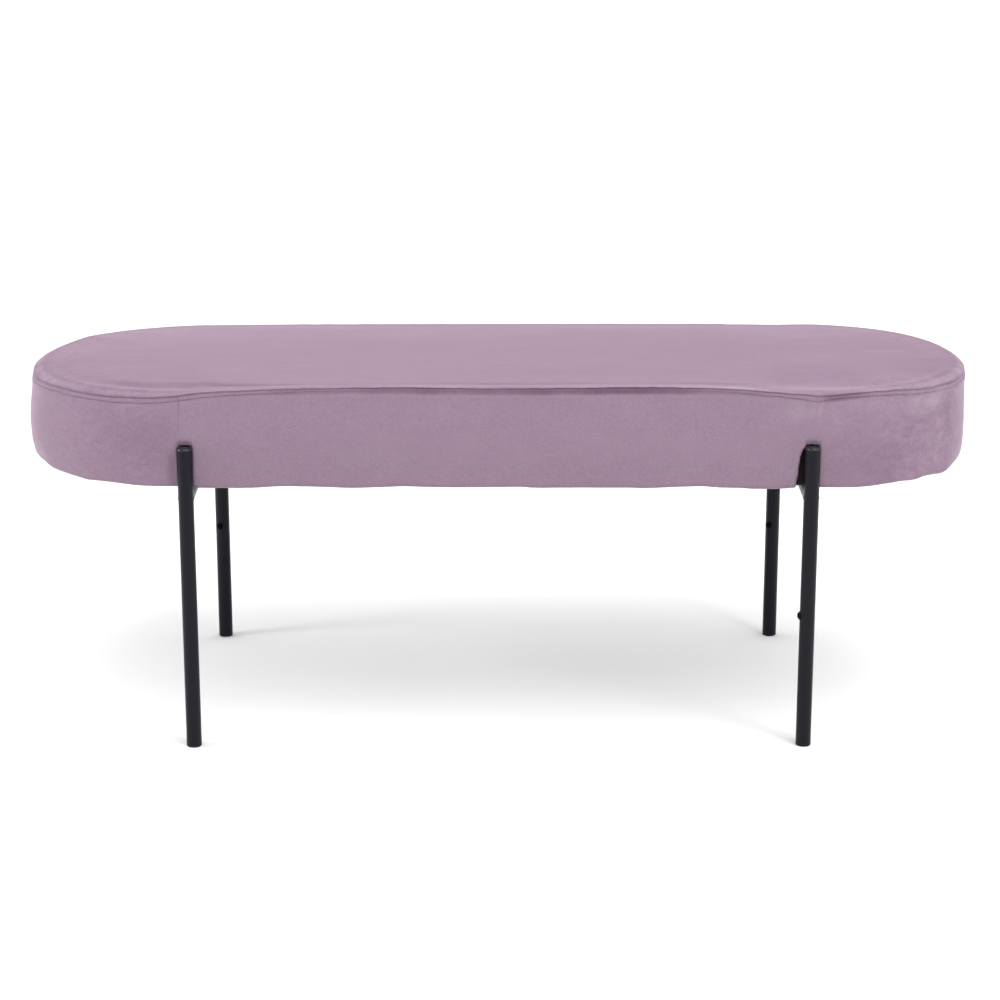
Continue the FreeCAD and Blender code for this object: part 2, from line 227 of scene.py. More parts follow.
# How far the strip between the seam and the stitching is drawn in under the
# lip of the top panel, by arc length.
RECESS_AT = [(2, 0.15), (50, 0.22), (100, 0.42), (149, 0.60), (212, 0.70), (272, 0.95), (392, 1.0), (452, 1.08), (517, 1.08),
             (564, 1.05), (637, 0.8), (685, 0.45), (732, 0.3), (777, 0.2), (786, 0.45), (794, 1.0), (822, 0.85),
             (838, 0.4), (850, 0.12), (930, 0.05), (2760, 0.05), (PERIM, 0.12)]
RECESS = np.interp(U, [a for a, b in RECESS_AT], [b for a, b in RECESS_AT])
RECESS = RECESS * (1 + 0.22 * ring_noise(U, U * 0, 34, 1, 5))
PEAK_AT = [(0, 453.6), (784, 453.6), (784 + 100, 453.6), (784 + 200, 453.0), (784 + 320, 452.6), (784 + 400, 453.4),
           (784 + 450, 454.1), (784 + 500, 453.7), (784 + 560, 452.6), (784 + 600, 452.3), (784 + 650, 450.6), (784 + 700, 451.2),
           (784 + 765, 452.5), (784 + 820, 452.0), (784 + 900, 452.4), (PERIM - 780, 452.2), (PERIM - 700, 451.8),
           (PERIM - 640, 451.1), (PERIM - 560, 450.6), (PERIM - 495, 451.7), (PERIM - 455, 453.0), (PERIM - 410, 451.5),
           (PERIM - 320, 450.8), (PERIM - 200, 451.8), (PERIM - 100, 453.2), (PERIM, 453.6)]
PEAK = np.interp(U, [a for a, b in PEAK_AT], [b for a, b in PEAK_AT])


def band_base(z):
    """Half depth of the plain band at height z."""
    # circle through the low, fullest and seam points of the section
    A = np.array([LOW_R, Z_BOTTOM + ROLL_H]); B = np.array([SEAT_FULL_R, Z_FULL]); C = np.array([SEAM_R, 445.0])
    M = np.array([B - A, C - A]); rhs = np.array([(B @ B - A @ A) / 2, (C @ C - A @ A) / 2])
    O = np.linalg.solve(M, rhs)
    rad = np.linalg.norm(A - O)
    zz = np.minimum(z, 445.0)
    r = O[0] + np.sqrt(rad * rad - (zz - O[1]) ** 2)
    over = np.maximum(z - 445.0, 0)
    return r - 0.03 * over - 0.022 * over * over


# ---------------------------------------------------------------- rows
# Band rows: distance d below the seam, dense at the seam and stitch line.
D_TOP = np.array([0.0, 0.25, 0.5, 0.8, 1.15, 1.55, 2.0, 2.5, 3.0, 3.3, 3.6, 3.9, 4.2, 4.5, 4.8, 5.1, 5.4, 5.7,
                  6.0, 6.35, 6.8, 7.4, 8.2, 9.4, 11.0, 13.0, 15.4, 18.2, 21.6, 25.2, 29.2, 33.6])
# fractions of the height below, close together at the tops of the legs
BODY = np.concatenate([np.linspace(0.0, 0.22, 5)[1:], np.linspace(0.22, 0.30, 4)[1:], np.linspace(0.30, 0.47, 20)[1:],
                       np.linspace(0.47, 0.53, 3)[1:], np.linspace(0.53, 1.0, 13)[1:]])
ROLL = np.linspace(0, 1, 9)[1:]
HEM = np.array([0.02, 0.06, 0.12, 0.2, 0.32, 0.48, 0.66, 0.84, 1.0])
# Arc length from the left end of the straight front, negative round the left
# end.
UF = np.where(U > U_REAR[0] + END_X, U - PERIM, U)


def along(table):
    return np.interp(UF, [a for a, b in table], [b for a, b in table])


# depth of the stitch line below the seam
STITCH_D = along([
    (-320, 5.6), (-150, 6.0), (-110, 5.4), (-70, 6.0), (-40, 6.0), (-10, 5.4), (14, 5.6), (50, 4.8), (75, 4.4), (125, 4.2),
    (149, 3.2), (222, 3.2), (271, 3.1), (333, 2.9), (394, 3.0), (455, 3.2), (517, 3.8), (578, 2.9), (639, 2.9), (688, 3.7),
    (713, 4.3), (737, 4.3), (762, 5.4), (774, 6.2), (783, 6.2), (790, 5.4), (798, 4.3), (830, 4.5), (850, 4.2), (870, 4.8),
    (890, 5.6), (905, 5.4), (930, 4.8), (960, 5.0), (1000, 5.4), (1100, 5.6)])
STITCH_D = STITCH_D + 0.22 * ring_noise(U, U * 0, 19, 1, 7) + 0.14 * ring_noise(U, U * 0, 7, 1, 8)
# how dark the stitch line is painted: pressed pile and painted shade in its valley
STITCH_CRUSH_AND_SHADE = along([
    (-300, 0.25), (-200, 0.22), (-150, 0.34), (-130, 0.55), (-110, 0.55), (-90, 0.48), (-60, 0.32), (-20, 0.30), (20, 0.22),
    (60, 0.20), (100, 0.22), (150, 0.14), (640, 0.14), (700, 0.18), (770, 0.24), (810, 0.42), (850, 0.46), (875, 0.30),
    (895, 0.16), (910, 0.08), (940, 0.05), (1000, 0.03), (1200, 0.25)])
# how deep the stitches pull the cloth in
STITCH_PULL = along([(-200, 1.0), (100, 1.0), (150, 0.65), (640, 0.65), (700, 1.0), (890, 1.0), (935, 0.7), (1000, 0.4), (1150, 0.9)])
# painted highlight on the face of the rolled edge, darker on its crest, painted shade in the hollow behind it and where
# it turns under into the seam
FACE_PAINTED_HIGHLIGHT = along([
    (-400, 0.12), (-200, 0.32), (-150, 0.24), (-115, 0.06), (-80, 0.24), (-55, 0.30), (-20, 0.32), (20, 0.26), (60, 0.22),
    (100, 0.14), (150, 0.06), (200, 0.0), (640, 0.05), (680, 0.26), (730, 0.30), (762, 0.24), (800, 0.12), (845, 0.24),
    (862, 0.38), (882, 0.36), (915, 0.34), (950, 0.36), (1000, 0.38), (1050, 0.26), (1150, 0.12)])
# painted highlight on the top of the small ridge along the front, where the seam runs high
RIDGE_PAINTED_HIGHLIGHT = along([(0, 0.36), (250, 0.40), (290, 0.55), (350, 0.55), (390, 0.38), (430, 0.38), (480, 0.50), (600, 0.58), (660, 0.80), (730, 0.80)])
CREST_DARK = along([(-400, 0.10), (-200, 0.16), (-150, 0.14), (-110, 0.06), (-30, 0.0), (10, 0.0), (50, 0.0), (700, 0.0), (780, 0.0), (900, 0.04), (1100, 0.08)])
HOLLOW_PAINTED_SHADE = along([(-200, 0.0), (-120, 0.08), (-95, 0.32), (0, 0.32), (60, 0.46), (100, 0.50), (150, 0.42), (600, 0.44), (660, 0.42), (700, 0.14), (725, 0.0)])
HOLLOW_AT = along([(-120, 23.0), (-70, 23.0), (-40, 26.0), (0, 27.0), (30, 25.0), (60, 15.0), (90, 13.0), (130, 14.0), (160, 15.5), (240, 16.5), (290, 20.0), (350, 20.0), (392, 16.0), (430, 16.0), (480, 19.5), (600, 19.5), (650, 17.0), (725, 17.0)])
TURN_PAINTED_SHADE = along([
    (-400, 0.15), (-230, 0.1), (-190, 0.1), (-165, 0.2), (-130, 0.42), (-30, 0.5), (10, 0.34), (30, 0.22), (80, 0.20), (150, 0.28), (700, 0.28), (770, 0.15),
    (800, 0.28), (840, 0.2), (870, 0.08), (900, 0.22), (990, 0.22), (1020, 0.10), (1200, 0.15)])


def gauss(x, w):
    return np.exp(-(x / w) ** 2)


def band_rows():
    """Rows of the band, from the seam down to the hem edge: r, z, d."""
    rows = []
    z_low = Z_BOTTOM + ROLL_H
    for d in D_TOP:
        z = ZS - d
        rows.append([band_base(z), z, np.full(NC, d)])
    for t in BODY:
        z = (ZS - 33.6) * (1 - t) + z_low * t
        rows.append([band_base(z), z, ZS - z])
    for t in ROLL:
        a = t * math.pi / 2
        z = np.full(NC, z_low - ROLL_H * math.sin(a))
        r = np.full(NC, LOW_R - ROLL_R + ROLL_R * math.cos(a))
        rows.append([r, z, ZS - z])
    for t in HEM:
        r = (LOW_R - ROLL_R) * (1 - t) + HEM_R * t
        rows.append([np.full(NC, r), np.full(NC, Z_BOTTOM), ZS - Z_BOTTOM])
    R = np.array([a[0] for a in rows]); Z = np.array([a[1] for a in rows]); D = np.array([a[2] for a in rows])
    return R, Z, D


N_UNDER, N_ROLL = 5, 15
IN_TOP = np.array([2.0, 4.5, 7.5, 11.5, 16.5, 22.5, 30.0, 39.0, 50.0, 63.0, 78.0, 95.0, 113.0, 132.0, 150.0])


def top_rows():
    """Rows of the top panel: out under its lip, up round the rolled edge and
    inward to the spine: r, z and the distance t along the cloth."""
    end = 0.2 * TIP_LEFT + 3.0 * TIP_RIGHT - 0.3 * TIP
    r_lip = band_base(ZS) + 0.1 + 0.3 * LIFT + end
    r_in = band_base(ZS) - (0.66 - 0.32 * LIFT) - 1.15 * RECESS + end - 1.0 * TIP
    width = 15.0 - 9.5 * LIFT
    peak = PEAK * (1 - LIFT) + (ZS + 3.0) * LIFT
    peak = np.maximum(peak, ZS + 2.2)
    power = 2.2 + 12.0 * LIFT
    centre = Z_CROWN + 0.3
    r_c = r_lip - width
    rows = []
    for f in np.linspace(0, 1, N_UNDER):
        rows.append([r_in + (r_lip - 0.35 - r_in) * f, ZS + 0.1 + 0.25 * f * f])
    for f in np.linspace(0, 1, N_ROLL + 1)[1:]:
        a = f * math.pi / 2
        g = 1.35 + 0.25 * LIFT
        # the roll is full at the lip and flattens inward
        lean = 0.42 * TIP + 0.18 * (1 - TIP) * (1 - LIFT) + 0.10 * LIFT
        rr = r_lip - width * ((1 - lean) * (1 - np.cos(a) ** g) + lean * math.sin(a))
        zz = ZS + 0.35 + (peak - ZS - 0.35) * np.sin(a) ** 0.86
        # it bulges over the seam round the ends
        rr = rr - 1.5 * (1 - LIFT) * (1 - TIP) * (1 - np.clip((zz - ZS) / 4.6, 0, 1)) ** 1.7
        rows.append([rr, zz])
    for t in IN_TOP:
        r = r_c * (1 - t / 168.0)
        zc = centre + (peak - centre) * np.clip(r / r_c, 0, 1) ** power
        rows.append([r, zc])
    R = np.array([a[0] for a in rows]); Z = np.array([a[1] for a in rows])
    T = np.concatenate([np.zeros((1, NC)), np.cumsum(np.sqrt(np.diff(R, axis=0) ** 2 + np.diff(Z, axis=0) ** 2), axis=0)])
    return R, Z, T


# ---------------------------------------------------------------- shaping
def signed(u, c):
    return np.mod(u - c + PERIM / 2, PERIM) - PERIM / 2


WEDGE_Z = [330.0, 336.0, 344.0, 352.0, 363.0, 374.0, 380.0, 385.0, 388.0]
WEDGE_X = [19.2, 18.6, 17.8, 16.8, 16.0, 14.6, 12.8, 10.6, 7.5]


def leg_dent(r, z, u, crush_and_painted_shading, deep):
    """Press the band in behind the legs. The two arrays passed in collect how hard the pile is pressed, with painted
    shade round the legs, and where an open pocket is, whose inside the material paints near black as shade."""
    for k, c in enumerate(LEGS_U):
        dx = signed(u, c)[None, :]
        near = np.abs(dx) < 60
        tube = LEG_Y - np.sqrt(np.clip((LEG_R + 0.45) ** 2 - dx ** 2, 0, None))
        push = np.where(np.abs(dx) < LEG_R + 0.45, np.clip(r - tube, 0, None) + 0.05, 0.0)
        # the cloth leaves the tube in a tight curve
        push = np.maximum(push, 0.8 * np.exp(-(np.clip(np.abs(dx) - 8.7, 0, None) / 1.1) ** 1.5))
        # above the end of the leg the cloth springs out again at once
        up = 1 - sstep((z - (LEG_TOP + 0.1)) / 1.5)
        stay = np.minimum(push, 2.2) * (1 - sstep((z - LEG_TOP) / 8.0))
        push = np.where(z < LEG_TOP + 0.1, push, np.maximum(push * up, stay))
        # dimple that hangs above the end of the leg
        side = (1.5, 0.5, 0.0, 0.0)[k]
        push = push + 0.5 * gauss(z - (LEG_TOP + 4.0), 2.6) * np.exp(-(np.abs(dx - side) / 6.0) ** 2.4)
        # painted shade in the dimple above the end of the leg and where the cloth meets the tube
        crush_and_painted_shading += near * (0.16 * gauss(z - (LEG_TOP + 2.6), 2.6) * np.exp(-(np.abs(dx - side) / 7.0) ** 2.4)
                         + 0.10 * np.exp(-(np.clip(np.abs(dx) - 9.1, 0, None) / 1.2) ** 2) * (z < LEG_TOP + 1))
        if k == 0:
            # the band gives way on the outer side of the front left leg, and a painted shadow of the leg lies on it
            push = push + 1.5 * np.exp(-((dx + 14.5) / 5.5) ** 2) * sstep((LEG_TOP - 4 - z) / 16.0)
            crush_and_painted_shading += near * 0.13 * np.exp(-((dx + 12.5) / 4.5) ** 2) * sstep((LEG_TOP - 6 - z) / 14.0)
        if k == 1:
            # open pocket on the inner side of the front right leg, marked so that the material paints its inside near
            # black as shade
            edge = np.interp(z, WEDGE_Z, WEDGE_X, right=0.0)
            inside = sstep((dx + edge) / 1.5) * sstep((-dx + 7) / 5.0) * (z < 388.2)
            push = push + 9.0 * inside
            deep += near * inside
            # cloth pinched up beside the top of the leg
            push = push - 1.2 * gauss(z - 387.5, 2.6) * gauss(dx + 11.5, 3.2) - 0.7 * gauss(dx + edge + 2.2, 1.7) * (z < 387.0)
        r -= push * near
        hit = near & (np.abs(dx) < LEG_R + 0.45) & (z < LEG_TOP + 0.15)
        r[:] = np.where(hit, np.minimum(r, tube - 0.05), r)
    return r, crush_and_painted_shading, deep


def shape_band(R, Z, D):
    u = U[None, :]
    uu = np.broadcast_to(u, R.shape)
    crush_and_painted_shading = np.zeros_like(R)
    deep = np.zeros_like(R)
    sd = STITCH_D[None, :]
    rec = RECESS[None, :]
    vis = sstep((Z - (Z_BOTTOM - 0.1)) / 6.0)
    # seam lip, raised strip between seam and stitches, stitch valley
    waver = 0.75 + 0.35 * ring_noise(uu, D * 0, 11, 1, 11) + 0.25 * ring_noise(uu, D * 0, 5.2, 1, 12)
    L = LIFT[None, :]
    R = R - (0.66 - 0.32 * L) * np.exp(-(D / 1.1) ** 1.6)
    # the band turns in towards the seam at the very ends
    R = R - (1.0 * TIP)[None, :] * (1 - sstep(D / 9.0))
    R = R - 1.15 * rec * (1 - sstep((D - 2.6) / 6.2))
    R = R + 0.35 * gauss(D - sd * 0.52, 1.5) * (1 - 0.6 * np.clip(rec, 0, 1))
    valley = gauss(D - sd, 0.62)
    pitch = 4.0
    ph = np.mod(uu, pitch) / pitch
    hole = np.exp(-(np.minimum(ph, 1 - ph) / 0.16) ** 2)
    R = R - STITCH_PULL[None, :] * valley * (0.35 + 0.30 * waver + 0.25 * hole)
    faint = 0.55 + 0.45 * sstep((ring_noise(uu, D * 0, 28, 1, 13) + 0.55) / 0.8)
    fuzz = 0.75 + 0.35 * ring_noise(uu, D * 0, 6.3, 1, 14) + 0.25 * ring_noise(uu, D * 0, 2.9, 1, 15)
    wide = 1.3 * (1 + 0.4 * np.clip(ring_noise(uu, D * 0, 9, 1, 16), -1, 1))
    # painted shade in the seam groove; pressed pile and painted shade in the stitch valley
    crush_and_painted_shading = crush_and_painted_shading + (0.07 - 0.05 * L) * fuzz * np.exp(-(D / wide) ** 2) + STITCH_CRUSH_AND_SHADE[None, :] * valley * (0.7 + 0.5 * hole) * faint
    # painted shadow of the lip of the top panel on the strip drawn in under it
    shade = 1 - sstep((D - 3.4 - 1.6 * np.clip(rec, 0, 1.4)) / 3.6)
    crush_and_painted_shading = crush_and_painted_shading + (0.57 * np.clip(rec, 0, 1.5) ** 1.1) * shade * (0.9 + 0.2 * fuzz) * (0.55 + 0.45 * sstep(D / 3.2))
    # fullness below the stitches, with small puckers that fade downward
    R = R + 0.55 * gauss(D - sd - 6.5, 5.0)
    puck = ring_noise(uu, D * 0, 9.0, 1, 21) + 0.6 * ring_noise(uu, D * 0, 4.6, 1, 22)
    pull = np.clip(ring_noise(uu, D * 0, 60, 1, 23) + 0.35, 0.15, 1.2)
    R = R + 0.22 * puck * pull * np.exp(-np.clip(D - sd, 0, None) / 4.5) * sstep((D - sd) / 1.5)
    # longer pulls that hang from the seam at the ends, with painted shade in them
    for c, w, dep, lean, length in PULLS:
        dx = signed(uu, c) - lean * (D - sd)
        R = R - dep * np.exp(-(dx / w) ** 2) * sstep((D - sd) / 2.0) * np.exp(-(np.clip(D - sd, 0, None) / length) ** 1.5)
        crush_and_painted_shading = crush_and_painted_shading + 0.24 * dep * np.exp(-(dx / (w * 0.7)) ** 2) * sstep((D - sd) / 2.0) * np.exp(-(np.clip(D - sd, 0, None) / length) ** 1.5)
    # upright seams, with painted shade along their lines and a painted highlight along the front right one
    for k, c in enumerate(SEAMS_U):
        dx = signed(uu, c)
        cut_in = (0.55, 0.16, 0.7, 0.7)[k]
        seam_line_shading = (0.24, -0.10, 0.35, 0.35)[k]
        fade = (0.12, 0.10, 0.5, 0.5)[k] + (0.88, 0.90, 0.5, 0.5)[k] * np.exp(-(D / 26.0) ** 2)
        g = np.exp(-(np.abs(dx) / 0.75) ** 1.5) * fade * sstep(D / 1.5) * vis
        R = R - cut_in * g + 0.16 * gauss(np.abs(dx) - 2.6, 1.6) * fade * vis
        crush_and_painted_shading = crush_and_painted_shading + seam_line_shading * g
    # slow waviness of the stuffing
    R = R + (0.55 * ring_noise(uu, Z, 150, 60, 31) + 0.35 * ring_noise(uu, Z, 70, 40, 32)) * sstep(D / 14.0) * vis
    R = R + 0.10 * ring_noise(uu, Z, 24, 18, 33) * sstep(D / 10.0) * vis
    # wavering bottom edge
    low = sstep((350.0 - Z) / 14.0)
    wob = 0.55 * ring_noise(uu, Z * 0, 120, 1, 41) + 0.45 * ring_noise(uu, Z * 0, 46, 1, 42) + 0.2 * ring_noise(uu, Z * 0, 17, 1, 43)
    uf = front_u(uu)
    behind = sstep((np.abs(uf - END_X) - 672.0) / 60.0)
    lift = np.interp(uf, [a for a, b in LOW_LIFT], [b for a, b in LOW_LIFT]) - 1.0
    out = np.interp(uf, [a for a, b in LOW_OUT], [b for a, b in LOW_OUT])
    Z0 = Z
    Z = Z + (wob * 0.9 * behind + lift) * low * sstep((R - 176.0) / 10.0)
    R = R + out * sstep((366.0 - Z0) / 26.0) * sstep((R - 186.0) / 10.0)
    # fullness of the wall at the ends
    keep = sstep((R - 186.0) / 10.0)
    R = R + (np.interp(Z0, END_Z_LEFT, END_OUT_LEFT) * TIP_LEFT + np.interp(Z0, END_Z_RIGHT, END_OUT_RIGHT) * TIP_RIGHT) * keep
    # pleats of the hem round the curved ends
    endness = sstep((np.abs(CX + 195.0 * NX) - END_X) / 20.0)[None, :]
    pl = ring_noise(uu, D * 0, 13, 1, 51)
    flat = sstep((199.0 - R) / 6.0) * sstep((R - 178.5) / 3.0) * (Z < Z_BOTTOM + 3)
    Z = Z - 0.9 * flat * endness * np.clip(pl, 0, 1) + 0.15 * flat * ring_noise(uu, R, 30, 8, 52)
    R, crush_and_painted_shading, deep = leg_dent(R, Z, U, crush_and_painted_shading, deep)
    return R, Z, crush_and_painted_shading, deep


PULLS = [
    # arc length, width, depth, lean, length: light pulls below the seam
    (PERIM - 135, 2.2, 0.9, -0.7, 12),
    (PERIM - 141, 3.0, 0.35, -0.6, 22),
    (u_of_front(SEAM_X_LEFT) - 30, 4.0, 0.3, -0.2, 12),
    (u_of_front(SEAM_X_RIGHT) + 12, 2.4, 0.55, -0.15, 10),
    (u_of_front(SEAM_X_RIGHT) + 20, 2.2, 0.45, 0.1, 9),
    (u_of_front(SEAM_X_RIGHT) + 32, 3.0, 0.35, 0.2, 12),
    (u_of_front(SEAM_X_RIGHT) - 9, 5.0, 0.5, -0.25, 40),
    (u_of_rear(SEAM_X_RIGHT) - 14, 3.0, 0.5, 0.2, 12),
    (u_of_rear(SEAM_X_LEFT) + 17, 3.0, 0.5, -0.2, 12),
]
# Waver of the bottom edge along the front and round both ends: arc length
# from the left end of the straight front, then the lift in mm.
LOW_LIFT = [
    (-320, 0.0), (-280, 0.0), (-264, 0.2), (-248, 0.3), (-232, 0.7), (-216, 0.4), (-200, 0.0), (-184, 0.2), (-168, 0.4),
    (-152, 0.4), (-144, 0.3), (-136, 0.0), (-128, -0.3), (-120, 0.3), (-112, 1.0), (-104, 1.4), (-96, 1.8), (-80, 1.9),
    (-64, 1.5), (-48, 1.3), (-32, 1.5), (-16, 1.9), (-8, 1.9), (0, 1.2), (8, 0.3), (24, 0.0), (40, -0.3), (56, -0.2),
    (72, -0.5), (88, -0.2), (96, 0.1), (104, 0.6), (112, 1.2), (120, 1.6), (136, 1.8), (152, 1.5), (168, 1.1), (184, 0.6),
    (200, -0.2), (212, -0.5), (224, -0.3), (240, 0.3), (256, 0.8), (272, 1.5), (280, 1.5), (296, 0.9), (312, 0.5),
    (336, 0.1), (360, 0.2), (384, 0.4), (400, 0.5), (416, 0.7), (424, 0.3), (432, -0.4), (444, -0.7), (464, -0.5),
    (496, -0.4), (528, -0.6), (552, -0.6), (568, -1.2), (584, -0.9), (600, -0.1), (616, 0.5), (632, 1.0), (640, 1.1),
    (648, 0.8), (656, 0.1), (664, -0.6), (676, -0.9), (688, -1.0), (696, -1.7), (704, -2.2), (728, -2.4), (744, -1.8),
    (752, -0.9), (760, -0.3), (784, -0.1), (800, -0.5), (816, -1.1), (832, -1.8), (848, -1.9), (864, -1.5), (880, -1.2),
    (896, -1.0), (904, -1.4), (912, -2.1), (920, -2.4), (928, -1.8), (936, -1.2), (944, -1.3), (952, -1.7), (960, -2.4),
    (968, -3.3), (976, -3.2), (984, -2.2), (992, -1.4), (1000, -0.7), (1016, 0.1), (1032, 0.4), (1056, 0.2), (1080, 0.0),
    (1104, 0.0)]
# How far the low edge stands out or is drawn in round the ends.
LOW_OUT = [
    (-320, 0.0), (-296, 0.1), (-280, 0.7), (-272, 0.5), (-264, -0.1), (-256, -0.6), (-240, -1.3), (-232, -1.5), (-224, -1.3),
    (-208, -0.3), (-192, -0.2), (-168, -0.5), (-144, -0.2), (-128, 0.1), (-112, -0.3), (-88, -0.2), (-64, 0.0), (848, 0.0),
    (880, 0.2), (896, 0.5), (912, 1.3), (920, 1.8), (936, 2.0), (944, 2.5), (952, 3.3), (960, 4.4), (968, 5.5), (976, 5.7),
    (984, 5.0), (992, 3.8), (1000, 2.7), (1016, 1.0), (1032, -0.2), (1048, -0.8), (1064, -0.8), (1080, -0.2), (1104, 0.0)]
# Fullness of the wall at the two ends, by height.
END_Z_LEFT = [334, 338, 341, 345, 348, 352, 358, 372, 380, 388, 393, 400, 405, 411, 418, 425, 430, 436, 460]
END_OUT_LEFT = [0, 0, 0.3, 0.5, 1.1, 1.8, 2.1, 2.1, 2.2, 1.8, 1.2, 0.8, 0.5, 0.15, -0.3, -0.6, -0.4, 0.2, 0.2]
END_Z_RIGHT = [334, 338, 341, 345, 350, 360, 365, 370, 375, 380, 385, 390, 400, 405, 410, 430, 437, 445, 460]
END_OUT_RIGHT = [2.2, 2.5, 2.7, 2.6, 2.2, 1.3, 1.0, 0.6, 0.5, 0.5, 0.4, 0.15, 0.15, 0.3, 0.5, 0.9, 2.3, 3.1, 3.1]


def front_u(u):
    """Arc length from the left end of the straight front, negative round the
    left end."""
    return np.where(u > U_REAR[0] + END_X, u - PERIM, u)


def shape_top(R, Z, T):
    uu = np.broadcast_to(U[None, :], R.shape)
    crush_and_painted_shading = np.zeros_like(R)
    X = CX[None, :] + R * NX[None, :]
    Y = R * NY[None, :]
    k = np.arange(R.shape[0])[:, None]
    on_roll = sstep((k - N_UNDER + 1.0) / 3.0) * (1 - sstep((k - N_UNDER - N_ROLL - 4.0) / 6.0))
    waver = ring_noise(uu, T * 0, 17, 1, 61) + 0.5 * ring_noise(uu, T * 0, 7, 1, 62)
    gather = 0.5 + 0.5 * ring_noise(uu, T * 0, 90, 1, 63)
    R = R + 0.16 * waver * on_roll * gather
    Z = Z + 0.20 * waver * gather * gauss(k - N_UNDER - 5.0, 5.0)
    fuzz = 0.75 + 0.4 * ring_noise(uu, T * 0, 5.7, 1, 64) + 0.3 * ring_noise(uu, T * 0, 2.6, 1, 65)
    # painted shade where the panel turns under into the seam
    crush_and_painted_shading = crush_and_painted_shading + 0.14 * fuzz * (1 - sstep((k - 2.0) / (N_UNDER + 0.5)))
    above = Z - ZS[None, :]
    t_in = T - T[N_UNDER + N_ROLL - 1][None, :]
    L = LIFT[None, :]
    # angle round the rolled edge, 0 at its foot and 90 on top
    turn = np.clip(90.0 / N_ROLL * (k - N_UNDER + 1.0), 0, 90)
    soft = 0.82 + 0.24 * fuzz
    face = sstep((turn - 2) / 12.0) * (1 - sstep((turn - 40) / 26.0))
    crest = gauss(t_in - 1.0, 4.5)
    ridge = sstep((turn - 4) / 18.0) * (1 - sstep((turn - 60) / 26.0)) * np.clip(L * 1.3, 0, 1)
    # painted highlight on the face of the rolled edge and the front ridge, darker crest, painted shade where the edge
    # turns under
    crush_and_painted_shading = crush_and_painted_shading - FACE_PAINTED_HIGHLIGHT[None, :] * face * soft + CREST_DARK[None, :] * crest - RIDGE_PAINTED_HIGHLIGHT[None, :] * ridge * soft
    crush_and_painted_shading = crush_and_painted_shading + TURN_PAINTED_SHADE[None, :] * (1 - 0.4 * L) * soft * np.exp(-(np.clip(above, 0, None) / (3.1 - 0.9 * L)) ** 2.5) * (turn < 60)
    # shallow valley behind the rolled edge, with painted shade in it
    dip = np.exp(-((t_in - 12 + 3 * L) / (8 - 2 * L)) ** 2) * (0.3 + 0.7 * FRONTNESS[None, :]) * (t_in > -6)
    Z = Z - (0.9 - 0.5 * L) * dip
    crush_and_painted_shading = crush_and_painted_shading + HOLLOW_PAINTED_SHADE[None, :] * gauss(t_in - HOLLOW_AT[None, :], 8.5 - 1.8 * L)
    # long soft tension waves across the panel and slow waviness
    Z = Z + 0.40 * value_noise(X / 130.0 + 7, Y / 70.0 + 3, 71) * sstep(t_in / 30.0)
    Z = Z + 0.15 * value_noise(X / 46.0 + 1, Y / 21.0 + 9, 72) * sstep(t_in / 25.0)
    fold = np.broadcast_to(sstep((turn - 1) / 8.0) * (1 - sstep((turn - 48) / 34.0)), R.shape)
    return R, Z, crush_and_painted_shading, fold


def grid_mesh(name, pts, quads, attrs):
    me = bpy.data.meshes.new(name)
    me.from_pydata([tuple(p) for p in pts.tolist()], [], quads.tolist())
    me.validate()
    for an, vals in attrs.items():
        a = me.attributes.new(an, "FLOAT", "POINT")
        a.data.foreach_set("value", np.asarray(vals, dtype=np.float32))
    me.polygons.foreach_set("use_smooth", [True] * len(me.polygons))
    ob = bpy.data.objects.new(name, me)
    bpy.context.collection.objects.link(ob)
    return ob


def to_xyz(R, Z):
    X = CX[None, :] + R * NX[None, :]
    Y = R * NY[None, :]
    return np.stack([X, Y, Z], -1) * MM


def strip_piece(name, P, attrs, cols, closed):
    """A piece from rows of P over a run of columns."""
    sub = P[:, cols]
    nr, nc = sub.shape[:2]
    idx = np.arange(nr * nc).reshape(nr, nc)
    if closed:
        nxt = np.roll(idx, -1, axis=1)
        a, b, c, d = idx[:-1], nxt[:-1], nxt[1:], idx[1:]
    else:
        a, b, c, d = idx[:-1, :-1], idx[:-1, 1:], idx[1:, 1:], idx[1:, :-1]
    quads = np.stack([a, d, c, b], -1).reshape(-1, 4)
    return grid_mesh(name, sub.reshape(-1, 3), quads, {k: v[:, cols].reshape(-1) for k, v in attrs.items()})


def thicken(ob, t):
    m = ob.modifiers.new("cloth_thickness", "SOLIDIFY")
    m.thickness = t
    m.offset = -1.0
    m.use_rim = True
    return m


def apply_all(ob):
    dg = bpy.context.evaluated_depsgraph_get()
    me = bpy.data.meshes.new_from_object(ob.evaluated_get(dg))
    old = ob.data
    ob.modifiers.clear()
    ob.data = me
    bpy.data.meshes.remove(old)


# ---------------------------------------------------------------- cover
BR, BZ, BD = band_rows()
BR, BZ, BCR, B_POCKET_SHADE = shape_band(BR, BZ, BD)
TR, TZ, TT = top_rows()
TR, TZ, TCR, TFO = shape_top(TR, TZ, TT)
# the two panels meet in the seam
TR[0] = BR[0]
TZ[0] = BZ[0]

PB = to_xyz(BR, BZ)
PT = to_xyz(TR, TZ)

order = [int(np.argmin(ring_dist(U, c))) for c in SEAMS_U]
i_fl, i_fr, i_rr, i_rl = order


def cols_between(a, b):
    if a <= b:
        return np.arange(a, b + 1)
    return np.concatenate([np.arange(a, NC), np.arange(0, b + 1)])


